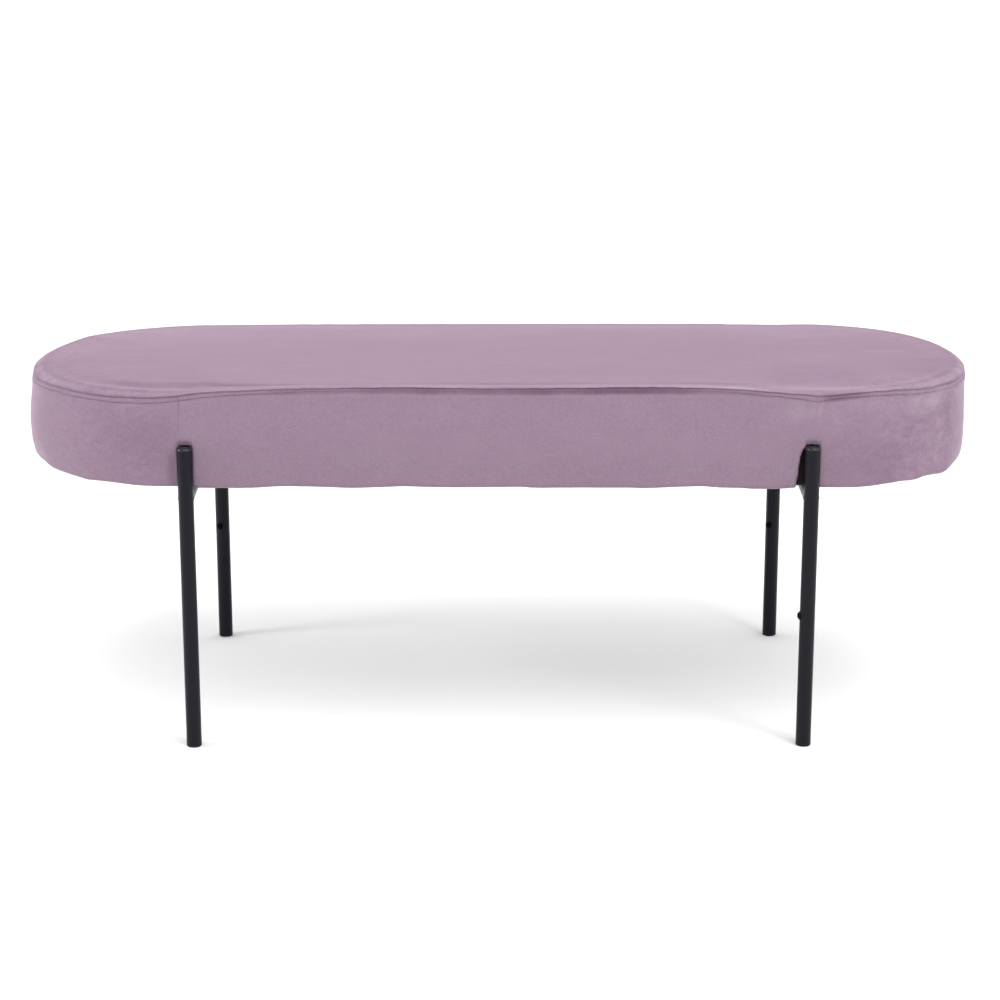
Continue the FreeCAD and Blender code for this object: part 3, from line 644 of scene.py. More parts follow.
# ---------------------------------------------------------------- nap and painted light
# Where the pile has been stroked another way, partly painted light and shade set to how light falls round the ends and
# below the seam. Soft patches by arc length and height: centre u, centre z, half widths, lightening.
NAP_AND_LIGHT_BAND = [
    (-34, 392, 26, 40, -0.090), (-76, 390, 30, 46, -0.068), (-12, 406, 14, 18, -0.040), (-122, 392, 22, 46, -0.022),
    (-150, 395, 40, 45, 0.015), (30, 395, 22, 50, 0.012), (150, 372, 60, 30, -0.012), (420, 400, 90, 24, 0.012),
    (640, 385, 60, 30, 0.014), (800, 410, 14, 22, 0.035), (805, 392, 16, 12, -0.070), (836, 398, 14, 14, -0.045),
    (856, 358, 44, 27, -0.100), (846, 437, 34, 9, 0.110), (918, 428, 42, 9, 0.120), (900, 380, 24, 20, -0.060),
    (905, 408, 16, 16, -0.030), (926, 398, 10, 20, 0.020), (948, 372, 11, 22, 0.050), (976, 404, 13, 34, -0.110),
    (1004, 404, 14, 38, -0.050), (764, 430, 26, 8, 0.130), (918, 437, 34, 6, 0.100), (955, 433, 22, 13, 0.190),
    (932, 412, 14, 9, -0.090), (806, 357, 12, 16, -0.060), (1062, 388, 52, 34, -0.070), (1010, 431, 18, 7, 0.100)]
# single light strokes in the pile, some of them painted highlights on small creases: arc length, height, length, angle,
# half width, lightening
STROKES = [
    (954, 405, 11, -40, 2.2, 0.085), (958, 397, 14, 32, 2.2, 0.070), (887, 412, 5, -60, 1.8, 0.080), (921, 396, 7, -66, 2.0, 0.070),
    (935, 379, 9, -86, 2.2, 0.070), (803, 420, 8, -56, 2.0, 0.060), (783, 428, 14, 86, 2.6, 0.060), (777, 408, 8, 78, 2.2, 0.050),
    (-18, 409, 5, -60, 1.8, 0.060), (-134, 424, 14, 52, 2.4, 0.045), (940, 415, 7, -30, 1.8, 0.050), (967, 386, 8, 55, 2.0, 0.060),
    (912, 372, 8, 70, 2.2, 0.045), (868, 402, 7, -50, 2.0, 0.040), (985, 372, 9, -75, 2.2, 0.050), (545, 428, 10, 20, 2.2, 0.020),
    (300, 415, 9, -15, 2.4, 0.020), (1010, 380, 12, 60, 2.4, 0.050), (1030, 400, 12, -50, 2.4, 0.050)]
# pile stroked another way on the top, partly painted light: a painted highlight along the front right rim and painted
# shade at the left tip
NAP_AND_LIGHT_TOP = [
    # centre x, centre y, half widths, lightening
    (-470, -140, 60, 16, 0.020), (-430, -168, 46, 12, 0.015), (-556, -50, 26, 46, -0.060), (-520, -110, 40, 22, -0.030),
    (385, -176, 105, 19, 0.230), (508, -134, 50, 20, 0.120), (546, -42, 34, 52, -0.070),
    (250, 60, 190, 90, -0.020),
    (420, 80, 120, 60, -0.016), (-60, -40, 160, 40, 0.008), (150, -110, 130, 16, -0.022), (-260, -60, 120, 50, 0.010),
    (-596, -45, 15, 60, -0.250), (-585, -84, 13, 26, -0.190)]


def nap_and_light_band(U2, Z2):
    uf = front_u(U2)
    n = np.zeros_like(Z2)
    wob_u = 5.0 * ring_noise(U2, Z2, 30, 30, 101)
    wob_z = 6.0 * ring_noise(U2, Z2, 34, 26, 102)
    for cu, cz, wu, wz, amt in NAP_AND_LIGHT_BAND:
        n = n + amt * np.exp(-np.abs((uf + wob_u - cu) / wu) ** 2.4 - np.abs((Z2 + wob_z - cz) / wz) ** 2.4)
    for cu, cz, half, deg, wid, amt in STROKES:
        c, q = math.cos(math.radians(deg)), math.sin(math.radians(deg))
        a = (uf - cu) * c + (Z2 - cz) * q
        b = -(uf - cu) * q + (Z2 - cz) * c + 0.02 * a * a / max(half, 1) * 4
        n = n + amt * np.exp(-np.abs(a / half) ** 3 - (b / wid) ** 2)
    return n


def mottle_band(U2, Z2):
    """How strongly the pile is ruffled: most at the right end."""
    uf = front_u(U2)
    right = np.exp(-np.abs((uf - 950) / 110.0) ** 3)
    left = 0.45 * np.exp(-np.abs((uf + 110) / 110.0) ** 3)
    rear = 0.5 * sstep((np.abs(uf - END_X) - 760.0) / 80.0)
    return 0.16 + np.maximum(np.maximum(right, left), rear)


def nap_and_light_top(X2, Y2):
    n = np.zeros_like(X2)
    wx = 14.0 * value_noise(X2 / 60.0 + 4, Y2 / 30.0 + 2, 103)
    wy = 7.0 * value_noise(X2 / 70.0 + 1, Y2 / 26.0 + 8, 104)
    for cx, cy, ax, ay, amt in NAP_AND_LIGHT_TOP:
        n = n + amt * np.exp(-np.abs((X2 + wx - cx) / ax) ** 2.4 - np.abs((Y2 + wy - cy) / ay) ** 2.4)
    return n


def mottle_top(T2, X2):
    rim = np.exp(-(np.clip(T2 - 30.0, 0, None) / 42.0) ** 2)
    return 0.20 + 0.8 * rim * sstep((np.abs(X2) - 300.0) / 160.0)


B_NAP_AND_LIGHT = nap_and_light_band(np.broadcast_to(U[None, :], BR.shape), BZ)
BMOT = mottle_band(np.broadcast_to(U[None, :], BR.shape), BZ)
TX = CX[None, :] + TR * NX[None, :]
TY = TR * NY[None, :]
T_NAP_AND_LIGHT = nap_and_light_top(TX, TY)
TMOT = mottle_top(TT, TX)

UB = np.broadcast_to(U[None, :], BR.shape)
VB = np.cumsum(np.concatenate([np.zeros((1, NC)), np.sqrt(np.diff(BR, axis=0) ** 2 + np.diff(BZ, axis=0) ** 2)]), axis=0)
band_attrs = {"crush_and_painted_shading": BCR, "deep": B_POCKET_SHADE, "nap_and_painted_light": B_NAP_AND_LIGHT, "mottle": BMOT, "along": UB * MM, "down": VB * MM}
bands = {}
for name, a, b, node in (("band_front", i_fl, i_fr, "cover_band_front"), ("band_right", i_fr, i_rr, "cover_band_right"),
                         ("band_rear", i_rr, i_rl, "cover_band_rear"), ("band_left", i_rl, i_fl, "cover_band_left")):
    ob = strip_piece(name, PB, band_attrs, cols_between(a, b), False)
    bands[name] = ob
    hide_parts(node)


def top_piece():
    """Top panel: rings from the seam inward, closed on the spine."""
    nr, nc = PT.shape[:2]
    idx = np.arange(nr * nc).reshape(nr, nc)
    nxt = np.roll(idx, -1, axis=1)
    quads = np.stack([idx[:-1], nxt[:-1], nxt[1:], idx[1:]], -1).reshape(-1, 4).tolist()
    pts = PT.reshape(-1, 3).tolist()
    last = idx[-1]
    # spine points shared by the front and rear halves
    zc = (Z_CROWN + 0.3) * MM
    spine = {}

    def spine_index(x):
        k = round(float(x), 3)
        if k not in spine:
            spine[k] = len(pts)
            pts.append((k * MM, 0.0, zc + 0.00045 * float(value_noise(np.array([k / 130.0 + 7]), np.array([3.0]), 71)[0])))
        return spine[k]

    front = np.where(U < U_FRONT[1])[0]
    xs = CX[front]
    knots = np.array([-END_X] + [float(x) for x in xs if abs(x) < END_X - 0.5] + [END_X])

    def nearest(x):
        return int(np.argmin(np.abs(knots - x)))

    faces = []
    for j in range(nc):
        a, b = int(last[j]), int(last[(j + 1) % nc])
        ka, kb = nearest(CX[j]), nearest(CX[(j + 1) % nc])
        step = 1 if kb >= ka else -1
        run = [spine_index(knots[k]) for k in range(ka, kb + step, step)]
        faces.append([a, b] + run[::-1])
    me = bpy.data.meshes.new("top_panel")
    me.from_pydata(pts, [], quads + faces)
    me.validate()
    n = len(me.vertices)
    cr = np.zeros(n, dtype=np.float32)
    cr[:nr * nc] = TCR.reshape(-1)
    tt = np.full(n, 0.2, dtype=np.float32)
    tt[:nr * nc] = TT.reshape(-1) * MM
    co = np.array(pts) / MM
    fo = np.zeros(n, dtype=np.float32)
    fo[:nr * nc] = TFO.reshape(-1)
    na = nap_and_light_top(co[:, 0], co[:, 1]).astype(np.float32)
    mo = np.full(n, 0.20, dtype=np.float32)
    mo[:nr * nc] = TMOT.reshape(-1)
    for an, vals in (("crush_and_painted_shading", cr), ("nap_and_painted_light", na), ("mottle", mo), ("fold", fo), ("down", tt)):
        at = me.attributes.new(an, "FLOAT", "POINT")
        at.data.foreach_set("value", vals)
    me.polygons.foreach_set("use_smooth", [True] * len(me.polygons))
    ob = bpy.data.objects.new("top_panel", me)
    bpy.context.collection.objects.link(ob)
    return ob


top = top_piece()
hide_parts("cover_top_panel")
covers = [top] + list(bands.values())
for ob in covers:
    thicken(ob, 1.2 * MM)
    apply_all(ob)
    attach(ob, "root")

# ---------------------------------------------------------------- top stitching
ND = len(D_TOP)


def band_at(u, d):
    """Point of the shaped band at arc length u and distance d below the seam."""
    u = np.mod(u, PERIM)
    k = np.clip(np.searchsorted(D_TOP, d, "right") - 1, 0, ND - 2)
    fd = (d - D_TOP[k]) / (D_TOP[k + 1] - D_TOP[k])
    j = np.searchsorted(U, u, "right") - 1
    j0 = np.where(j < 0, NC - 1, j)
    j1 = np.where(j + 1 >= NC, 0, j + 1)
    u0 = np.where(j < 0, U[-1] - PERIM, U[j0])
    u1 = np.where(j + 1 >= NC, U[0] + PERIM, U[j1])
    fu = (u - u0) / np.maximum(u1 - u0, 1e-9)

    def mix(A):
        lo = A[k, j0] * (1 - fu) + A[k, j1] * fu
        hi = A[k + 1, j0] * (1 - fu) + A[k + 1, j1] * fu
        return lo * (1 - fd) + hi * fd

    return mix(PB[..., 0]), mix(PB[..., 1]), mix(PB[..., 2])


def stitches():
    pitch = PERIM / round(PERIM / 4.0)
    n = int(round(PERIM / pitch))
    rings, sides = 7, 6
    rad = 0.33 * MM
    verts, faces = [], []
    rng = np.random.RandomState(5)
    t = np.linspace(0, 1, rings)
    for i in range(n):
        u = (i + 0.5 + (t - 0.5) * 0.80 + rng.uniform(-0.03, 0.03)) * pitch
        d = np.interp(u, U, STITCH_D, period=PERIM) + rng.uniform(-0.10, 0.10) + (t - 0.5) * rng.uniform(-0.25, 0.25)
        x, y, z = band_at(u, d)
        nx = np.interp(np.mod(u, PERIM), U, NX)
        ny = np.interp(np.mod(u, PERIM), U, NY)
        out = (0.30 - 1.1 * np.abs(2 * t - 1) ** 3.0) * MM
        P = np.stack([x + nx * out, y + ny * out, z], -1)
        N = np.stack([nx, ny, np.zeros(rings)], -1)
        tan = np.gradient(P, axis=0)
        tan /= np.linalg.norm(tan, axis=1)[:, None]
        B = np.cross(tan, N)
        base = len(verts)
        prof = rad * np.sqrt(np.clip(1 - np.abs(2 * t - 1) ** 6, 0.12, 1))
        twist = rng.uniform(0, 6.28)
        for k in range(rings):
            for q in range(sides):
                a = 2 * math.pi * q / sides + twist + 0.5 * k
                verts.append(tuple(P[k] + prof[k] * (math.cos(a) * N[k] + math.sin(a) * B[k])))
        for k in range(rings - 1):
            for q in range(sides):
                a = base + k * sides + q
                b = base + k * sides + (q + 1) % sides
                faces.append([a, b, b + sides, a + sides])
        faces.append([base + q for q in range(sides)][::-1])
        faces.append([base + (rings - 1) * sides + q for q in range(sides)])
    me = bpy.data.meshes.new("top_stitching")
    me.from_pydata(verts, [], faces)
    me.validate()
    me.polygons.foreach_set("use_smooth", [True] * len(me.polygons))
    ob = bpy.data.objects.new("top_stitching", me)
    bpy.context.collection.objects.link(ob)
    return ob


thread = stitches()
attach(thread, "root")

# ---------------------------------------------------------------- wadding and foam
# Both follow the shaped cover from inside, eroded so that no groove of the
# cover reaches them.
SKIP = 6
CJ = np.arange(0, NC, SKIP)


def erode_cols(A, w):
    out = A.copy()
    for k in range(1, w + 1):
        out = np.minimum(out, np.minimum(np.roll(A, k, -1), np.roll(A, -k, -1)))
    return out


BRE = erode_cols(BR, SKIP + 2)
TZE = erode_cols(TZ, SKIP + 2)


def inside_chain(gap, z_low):
    """Chain of points per column, from the middle of the top down the side:
    the cover taken inward by gap."""
    pts = []
    r_seam = BRE[0][CJ] + 1.2 - gap
    z_top = (ZS[CJ] + 1.0) - gap
    for k in (N_UNDER + N_ROLL + q for q in (14, 12, 10, 8, 6, 5, 4, 3, 2)):
        z = TZE[k - 1:k + 2].min(0)[CJ] - gap if k + 2 <= TZE.shape[0] else TZE[k - 1:].min(0)[CJ] - gap
        r = TR[k][CJ]
        pts.append((r, z))
    z_edge = np.minimum(pts[-1][1], z_top)
    pts.append((r_seam - 4.0, z_edge - 0.6))
    pts.append((r_seam - 1.2, z_edge - 2.4))
    zs = np.linspace(0, 1, 17)
    for f in zs[1:]:
        z = (z_edge - 3.5) * (1 - f) + z_low * f
        win = np.abs(BZ[:, CJ] - z[None, :]) < 6.5
        r = np.where(win, BRE[:, CJ], 1e9)
        lim = BR.shape[0] - len(HEM)
        r = r[:lim].min(0)
        r = np.where(r > 1e8, LOW_R - 3, r) - gap
        pts.append((r, z))
    return pts


def ring_shell(name, chain, attrs=None):
    """Closed body from a chain of rings whose first and last ring are capped
    on the spine line."""
    nr, n = len(chain), len(CJ)
    verts = []
    for r, z in chain:
        x = CX[CJ] + r * NX[CJ]
        y = r * NY[CJ]
        verts += [(a * MM, b * MM, c * MM) for a, b, c in zip(x, y, z)]
    faces = []
    for i in range(nr - 1):
        for j in range(n):
            k = (j + 1) % n
            faces.append([i * n + j, (i + 1) * n + j, (i + 1) * n + k, i * n + k])
    faces.append([j for j in range(n)])
    faces.append([(nr - 1) * n + j for j in range(n)][::-1])
    me = bpy.data.meshes.new(name)
    me.from_pydata(verts, [], faces)
    me.validate()
    me.polygons.foreach_set("use_smooth", [True] * len(me.polygons))
    ob = bpy.data.objects.new(name, me)
    bpy.context.collection.objects.link(ob)
    return ob


def lumpy(chain, amp, wave, seed):
    out = []
    for r, z in chain:
        n = value_noise((CX[CJ] + r * NX[CJ]) / wave, (r * NY[CJ] + 1.7 * z) / wave, seed)
        out.append((r - amp * (0.5 + 0.5 * n), z - amp * (0.5 + 0.5 * n) * (r < 180)))
    return out


wad_out = lumpy(inside_chain(1.9, Z_BOTTOM + 3.2), 0.5, 16.0, 81)
core = inside_chain(7.4, 351.2)
inner = [(r, z) for r, z in inside_chain(7.2, 351.2)]
bottom = [(np.full(len(CJ), 195.5), np.full(len(CJ), Z_BOTTOM + 2.2)), (np.full(len(CJ), 186.5), np.full(len(CJ), Z_BOTTOM + 2.2)),
          (np.full(len(CJ), 186.5), np.full(len(CJ), 350.9))]
inner = [(r, np.maximum(z, 350.9)) for r, z in inner]
wad_low = [(np.minimum(bottom[0][0], wad_out[-1][0] - 0.8), bottom[0][1])] + bottom[1:]
wadding = ring_shell("wadding_wrap", wad_out + wad_low + inner[::-1])
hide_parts("fibre_wrap")
foam = ring_shell("foam_core", core + [(core[-1][0] - 2.0, np.full(len(CJ), 350.95))])
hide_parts("foam_block")
for ob, sl in ((wadding, "wadding"), (foam, "foam")):
    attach(ob, "root")

# ---------------------------------------------------------------- dust cover
DUST_R = 177.0
Z_DUST = 333.05


def dust_sheet():
    """Black non-woven sheet stapled under the board. It sags a little between its staples and creases towards them."""
    staples = 48
    path = 4 * END_X + 2 * math.pi * 171.0
    n = 720
    s = (np.arange(n) + 0.5) * path / n
    arc = math.pi * 171.0
    cx = np.zeros(n); an = np.zeros(n)
    seg = [2 * END_X, arc, 2 * END_X, arc]
    edge = np.cumsum([0] + seg)
    for i in range(n):
        v = s[i]
        if v < edge[1]:
            cx[i], an[i] = v - END_X, -math.pi / 2
        elif v < edge[2]:
            cx[i], an[i] = END_X, -math.pi / 2 + (v - edge[1]) / 171.0
        elif v < edge[3]:
            cx[i], an[i] = END_X - (v - edge[2]), math.pi / 2
        else:
            cx[i], an[i] = -END_X, math.pi / 2 + (v - edge[3]) / 171.0
    rr = np.concatenate([np.linspace(177.0, 165.0, 13), np.linspace(165.0, 0.0, 34)[1:-1]])
    pitch = path / staples
    verts, faces = [], []
    for k, r in enumerate(rr):
        x = cx + r * np.cos(an)
        y = r * np.sin(an)
        ph = np.mod(s, pitch) / pitch
        mid = np.sin(math.pi * ph) ** 2
        edge_in = sstep(np.array((177.0 - r) / 3.0))
        scallop = 0.8 * mid * sstep(np.array((r - 120.0) / 60.0))
        crease = 0.55 * value_noise(s / 9.0, s * 0 + r / 60.0, 91) * sstep(np.array((r - 100.0) / 60.0)) * (1 - mid * 0.4)
        belly = 1.1 * value_noise(x / 90.0, y / 60.0, 92) * sstep(np.array((172.0 - r) / 30.0)) + 0.35 * value_noise(x / 28.0, y / 22.0, 93) * sstep(np.array((172.0 - r) / 20.0))
        rim = r - 0.7 * mid * (k == 0) - 0.35 * mid * (k == 1)
        z = Z_DUST - 0.15 - (0.25 * scallop + np.maximum(crease, -0.2) * 0.5) * edge_in - 1.3 * sstep(np.array((168.0 - r) / 60.0)) + np.minimum(belly, 0.9)
        z = np.minimum(z, 333.15)
        x = cx + rim * np.cos(an)
        y = rim * np.sin(an)
        verts += [(a * MM, b * MM, c * MM) for a, b, c in zip(x, y, z)]
    m = len(rr)
    for i in range(m - 1):
        for j in range(n):
            q = (j + 1) % n
            faces.append([i * n + j, (i + 1) * n + j, (i + 1) * n + q, i * n + q])
    # close along the spine: pair the innermost ring front to rear
    last = (m - 1) * n
    ring = [last + j for j in range(n)]
    half = [j for j in range(n)]
    fr = [j for j in half if s[j] < edge[1]]
    ri = [j for j in half if edge[1] <= s[j] < edge[2]]
    re = [j for j in half if edge[2] <= s[j] < edge[3]]
    le = [j for j in half if s[j] >= edge[3]]
    faces.append([last + j for j in ri] + [last + re[0], last + fr[-1]])
    faces.append([last + j for j in le] + [last + fr[0], last + re[-1]])
    back = re[::-1]
    a, b = 0, 0
    while a < len(fr) - 1 or b < len(back) - 1:
        if b >= len(back) - 1 or (a < len(fr) - 1 and cx[fr[a + 1]] <= cx[back[b + 1]]):
            faces.append([last + fr[a], last + back[b], last + fr[a + 1]])
            a += 1
        else:
            faces.append([last + fr[a], last + back[b], last + back[b + 1]])
            b += 1
    me = bpy.data.meshes.new("dust_cover_sheet")
    me.from_pydata(verts, [], faces)
    me.validate()
    me.polygons.foreach_set("use_smooth", [True] * len(me.polygons))
    ob = bpy.data.objects.new("dust_cover_sheet", me)
    bpy.context.collection.objects.link(ob)
    return ob


dust = dust_sheet()
dust_thick = dust.modifiers.new("cloth_thickness", "SOLIDIFY")
dust_thick.thickness = 0.4 * MM
dust_thick.offset = 0.0
apply_all(dust)
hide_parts("dust_cover")
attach(dust, "root")


# ---------------------------------------------------------------- materials
def new_material(name):
    mat = bpy.data.materials.new(name)
    mat.use_nodes = True
    nt = mat.node_tree
    nt.nodes.clear()
    out = nt.nodes.new("ShaderNodeOutputMaterial")
    bsdf = nt.nodes.new("ShaderNodeBsdfPrincipled")
    nt.links.new(bsdf.outputs["BSDF"], out.inputs["Surface"])
    return mat, nt, bsdf


def coords(nt, scale=(1, 1, 1), rot=(0, 0, 0), loc=(0, 0, 0)):
    tc = nt.nodes.new("ShaderNodeTexCoord")
    mp = nt.nodes.new("ShaderNodeMapping")
    mp.inputs["Scale"].default_value = scale
    mp.inputs["Rotation"].default_value = rot
    mp.inputs["Location"].default_value = loc
    nt.links.new(tc.outputs["Object"], mp.inputs["Vector"])
    return mp.outputs["Vector"]


def noise(nt, vec, scale, detail=3.0, rough=0.55, dist=0.0):
    n = nt.nodes.new("ShaderNodeTexNoise")
    n.inputs["Scale"].default_value = scale
    n.inputs["Detail"].default_value = detail
    n.inputs["Roughness"].default_value = rough
    n.inputs["Distortion"].default_value = dist
    nt.links.new(vec, n.inputs["Vector"])
    return n.outputs["Fac"]


def remap(nt, val, a, b, c, d):
    m = nt.nodes.new("ShaderNodeMapRange")
    m.inputs["From Min"].default_value = a
    m.inputs["From Max"].default_value = b
    m.inputs["To Min"].default_value = c
    m.inputs["To Max"].default_value = d
    nt.links.new(val, m.inputs["Value"])
    return m.outputs["Result"]


def math_node(nt, op, a, b=None):
    m = nt.nodes.new("ShaderNodeMath")
    m.operation = op
    for k, v in enumerate((a, b)):
        if v is None:
            continue
        if isinstance(v, (int, float)):
            m.inputs[k].default_value = v
        else:
            nt.links.new(v, m.inputs[k])
    return m.outputs[0]


def mix_color(nt, fac, a, b, blend="MIX"):
    m = nt.nodes.new("ShaderNodeMix")
    m.data_type = "RGBA"
    m.blend_type = blend
    for sock, v in ((m.inputs[0], fac), (m.inputs[6], a), (m.inputs[7], b)):
        if isinstance(v, (int, float)):
            sock.default_value = v
        elif isinstance(v, tuple):
            sock.default_value = v
        else:
            nt.links.new(v, sock)
    return m.outputs[2]


def attribute(nt, name):
    a = nt.nodes.new("ShaderNodeAttribute")
    a.attribute_name = name
    return a.outputs["Fac"]


def bump(nt, bsdf, height, dist, strength=1.0, normal=None):
    b = nt.nodes.new("ShaderNodeBump")
    b.inputs["Strength"].default_value = strength
    b.inputs["Distance"].default_value = dist
    nt.links.new(height, b.inputs["Height"])
    if normal is not None:
        nt.links.new(normal, b.inputs["Normal"])
    nt.links.new(b.outputs["Normal"], bsdf.inputs["Normal"])
    return b.outputs["Normal"]


def scaled(c, k):
    return (c[0] * k, c[1] * k, c[2] * k, 1.0)


PILE = (0.2368, 0.1621, 0.2203)        # band
# The top panel is the band's cloth. Its base is given less green than the band's to offset the whitish sheen the top
# shows at a grazing view: a colour set for how light falls.
PILE_TOP = (0.2355, 0.1487, 0.2122)


def velvet(name, base, streak_scale, crosshatch):
    mat, nt, bs = new_material(name)
    v = coords(nt)
    # short pile: fine grain of single tufts
    grain = noise(nt, v, 900.0, 2.0, 0.6)
    tuft = noise(nt, v, 380.0, 3.0, 0.62)
    # brushed pile: long soft streaks where the nap leans another way
    vs = coords(nt, streak_scale)
    streak = noise(nt, vs, 1.0, 4.0, 0.62, 0.6)
    cloud = noise(nt, v, 26.0, 4.0, 0.6, 0.4)
    wide = noise(nt, v, 5.0, 2.0, 0.5)
    f = remap(nt, grain, 0.3, 0.7, -0.075, 0.075)
    f = math_node(nt, "ADD", f, remap(nt, tuft, 0.3, 0.7, -0.068, 0.068))
    f = math_node(nt, "ADD", f, remap(nt, streak, 0.3, 0.7, -0.022, 0.022))
    f = math_node(nt, "ADD", f, remap(nt, cloud, 0.3, 0.7, -0.014, 0.014))
    f = math_node(nt, "ADD", f, remap(nt, wide, 0.3, 0.7, -0.012, 0.012))
    # pile stroked another way together with painted light and shade
    f = math_node(nt, "ADD", f, attribute(nt, "nap_and_painted_light"))
    # ruffled pile: short strokes that cross the nap, clear edged
    if crosshatch:
        va = coords(nt, (52, 52, 120), (0.0, 0.75, 0.0))
        vb = coords(nt, (60, 60, 110), (0.0, -0.85, 0.0))
        vc = coords(nt, (150, 150, 80), (0.0, 0.6, 0.0))
    else:
        va = coords(nt, (26, 90, 90), (0.0, 0.0, 0.35))
        vb = coords(nt, (70, 40, 40), (0.0, 0.0, -0.5))
        vc = coords(nt, (60, 150, 150), (0.0, 0.0, 0.15))
    ha = noise(nt, va, 1.0, 3.0, 0.6, 0.9)
    hb = noise(nt, vb, 1.0, 3.0, 0.6, 0.9)
    hc = noise(nt, vc, 1.0, 3.0, 0.65, 0.5)
    hatch = math_node(nt, "ADD", remap(nt, ha, 0.40, 0.60, -0.034, 0.034), remap(nt, hb, 0.40, 0.60, -0.036, 0.036))
    hatch = math_node(nt, "ADD", hatch, remap(nt, hc, 0.35, 0.65, -0.024, 0.024))
    f = math_node(nt, "ADD", f, math_node(nt, "MULTIPLY", hatch, attribute(nt, "mottle")))
    lum = math_node(nt, "ADD", f, 1.0)
    # pressed pile and painted shade darken the base colour; negative values of this attribute are painted highlights
    cr = attribute(nt, "crush_and_painted_shading")
    dark = math_node(nt, "SUBTRACT", 1.0, math_node(nt, "MULTIPLY", math_node(nt, "MINIMUM", cr, 1.5), 0.55))
    lum = math_node(nt, "MULTIPLY", lum, dark)
    vm = nt.nodes.new("ShaderNodeVectorMath")
    vm.operation = "MULTIPLY"
    tone = nt.nodes.new("ShaderNodeCombineXYZ")
    lum = math_node(nt, "MAXIMUM", lum, 0.02)
    nt.links.new(lum, tone.inputs[0])
    nt.links.new(math_node(nt, "POWER", lum, 1.32), tone.inputs[1])
    nt.links.new(math_node(nt, "POWER", lum, 1.06), tone.inputs[2])
    hue = noise(nt, v, 60.0, 2.0, 0.5)
    tint = mix_color(nt, remap(nt, hue, 0.3, 0.7, 0.0, 1.0), scaled((base[0] * 1.002, base[1] * 0.998, base[2] * 1.0), 1), scaled((base[0] * 0.998, base[1] * 1.002, base[2] * 1.0), 1))
    # the face of the rolled edge goes back to the band colour, since the top colour's offset against sheen holds only
    # where the top is seen at a grazing view
    if not crosshatch:
        tint = mix_color(nt, attribute(nt, "fold"), tint, scaled(PILE, 1.0))
    nt.links.new(tint, vm.inputs[0])
    nt.links.new(tone.outputs[0], vm.inputs[1])
    # the open pocket beside the front right leg is painted near black brown as shade
    shade = mix_color(nt, math_node(nt, "MINIMUM", attribute(nt, "deep"), 1.0), vm.outputs[0], (0.016, 0.010, 0.007, 1.0))
    nt.links.new(shade, bs.inputs["Base Color"])
    nt.links.new(remap(nt, tuft, 0.3, 0.7, 0.78, 0.92), bs.inputs["Roughness"])
    bs.inputs["Specular IOR Level"].default_value = 0.22
    bs.inputs["Sheen Weight"].default_value = 0.40
    bs.inputs["Sheen Roughness"].default_value = 0.32
    bs.inputs["Sheen Tint"].default_value = (0.93, 0.82, 0.91, 1.0)
    h = math_node(nt, "ADD", math_node(nt, "MULTIPLY", grain, 0.40), math_node(nt, "MULTIPLY", tuft, 0.9))
    h = math_node(nt, "ADD", h, math_node(nt, "MULTIPLY", streak, 0.6))
    h = math_node(nt, "ADD", h, math_node(nt, "MULTIPLY", math_node(nt, "MULTIPLY", hc, attribute(nt, "mottle")), 0.8))
    bump(nt, bs, h, 0.00045, 0.75)
    return mat


def satin_black(name, base, rough, peel=0.00003, spec=0.17):
    mat, nt, bs = new_material(name)
    v = coords(nt)
    peel_n = noise(nt, v, 520.0, 2.0, 0.5)
    fine = noise(nt, v, 1600.0, 2.0, 0.6)
    cloud = noise(nt, v, 30.0, 3.0, 0.55)
    f = math_node(nt, "ADD", remap(nt, fine, 0.3, 0.7, -0.10, 0.10), remap(nt, cloud, 0.3, 0.7, -0.08, 0.08))
    # dust and scuffs low on the leg
    tc = nt.nodes.new("ShaderNodeTexCoord")
    sp = nt.nodes.new("ShaderNodeSeparateXYZ")
    nt.links.new(tc.outputs["Object"], sp.inputs[0])
    low = remap(nt, sp.outputs["Z"], 0.0, 0.11, 1.0, 0.0)
    vz = coords(nt, (420, 420, 40))
    scuff = remap(nt, noise(nt, vz, 1.0, 4.0, 0.7), 0.52, 0.72, 0.0, 1.0)
    lowscuff = math_node(nt, "MULTIPLY", low, scuff)
    lum = math_node(nt, "ADD", f, 1.0)
    vm = nt.nodes.new("ShaderNodeVectorMath")
    vm.operation = "SCALE"
    col = mix_color(nt, math_node(nt, "MULTIPLY", lowscuff, 0.35), (base[0], base[1], base[2], 1.0), (base[0] * 2.2, base[1] * 2.15, base[2] * 2.0, 1.0))
    nt.links.new(col, vm.inputs[0])
    nt.links.new(lum, vm.inputs["Scale"])
    nt.links.new(vm.outputs[0], bs.inputs["Base Color"])
    r = math_node(nt, "ADD", remap(nt, cloud, 0.3, 0.7, rough - 0.04, rough + 0.05), math_node(nt, "MULTIPLY", lowscuff, 0.15))
    nt.links.new(r, bs.inputs["Roughness"])
    bs.inputs["Specular IOR Level"].default_value = spec
    bs.inputs["Specular Tint"].default_value = (0.88, 0.89, 1.0, 1.0)
    h = math_node(nt, "ADD", peel_n, math_node(nt, "MULTIPLY", fine, 0.35))
    bump(nt, bs, h, peel, 1.0)
    return mat


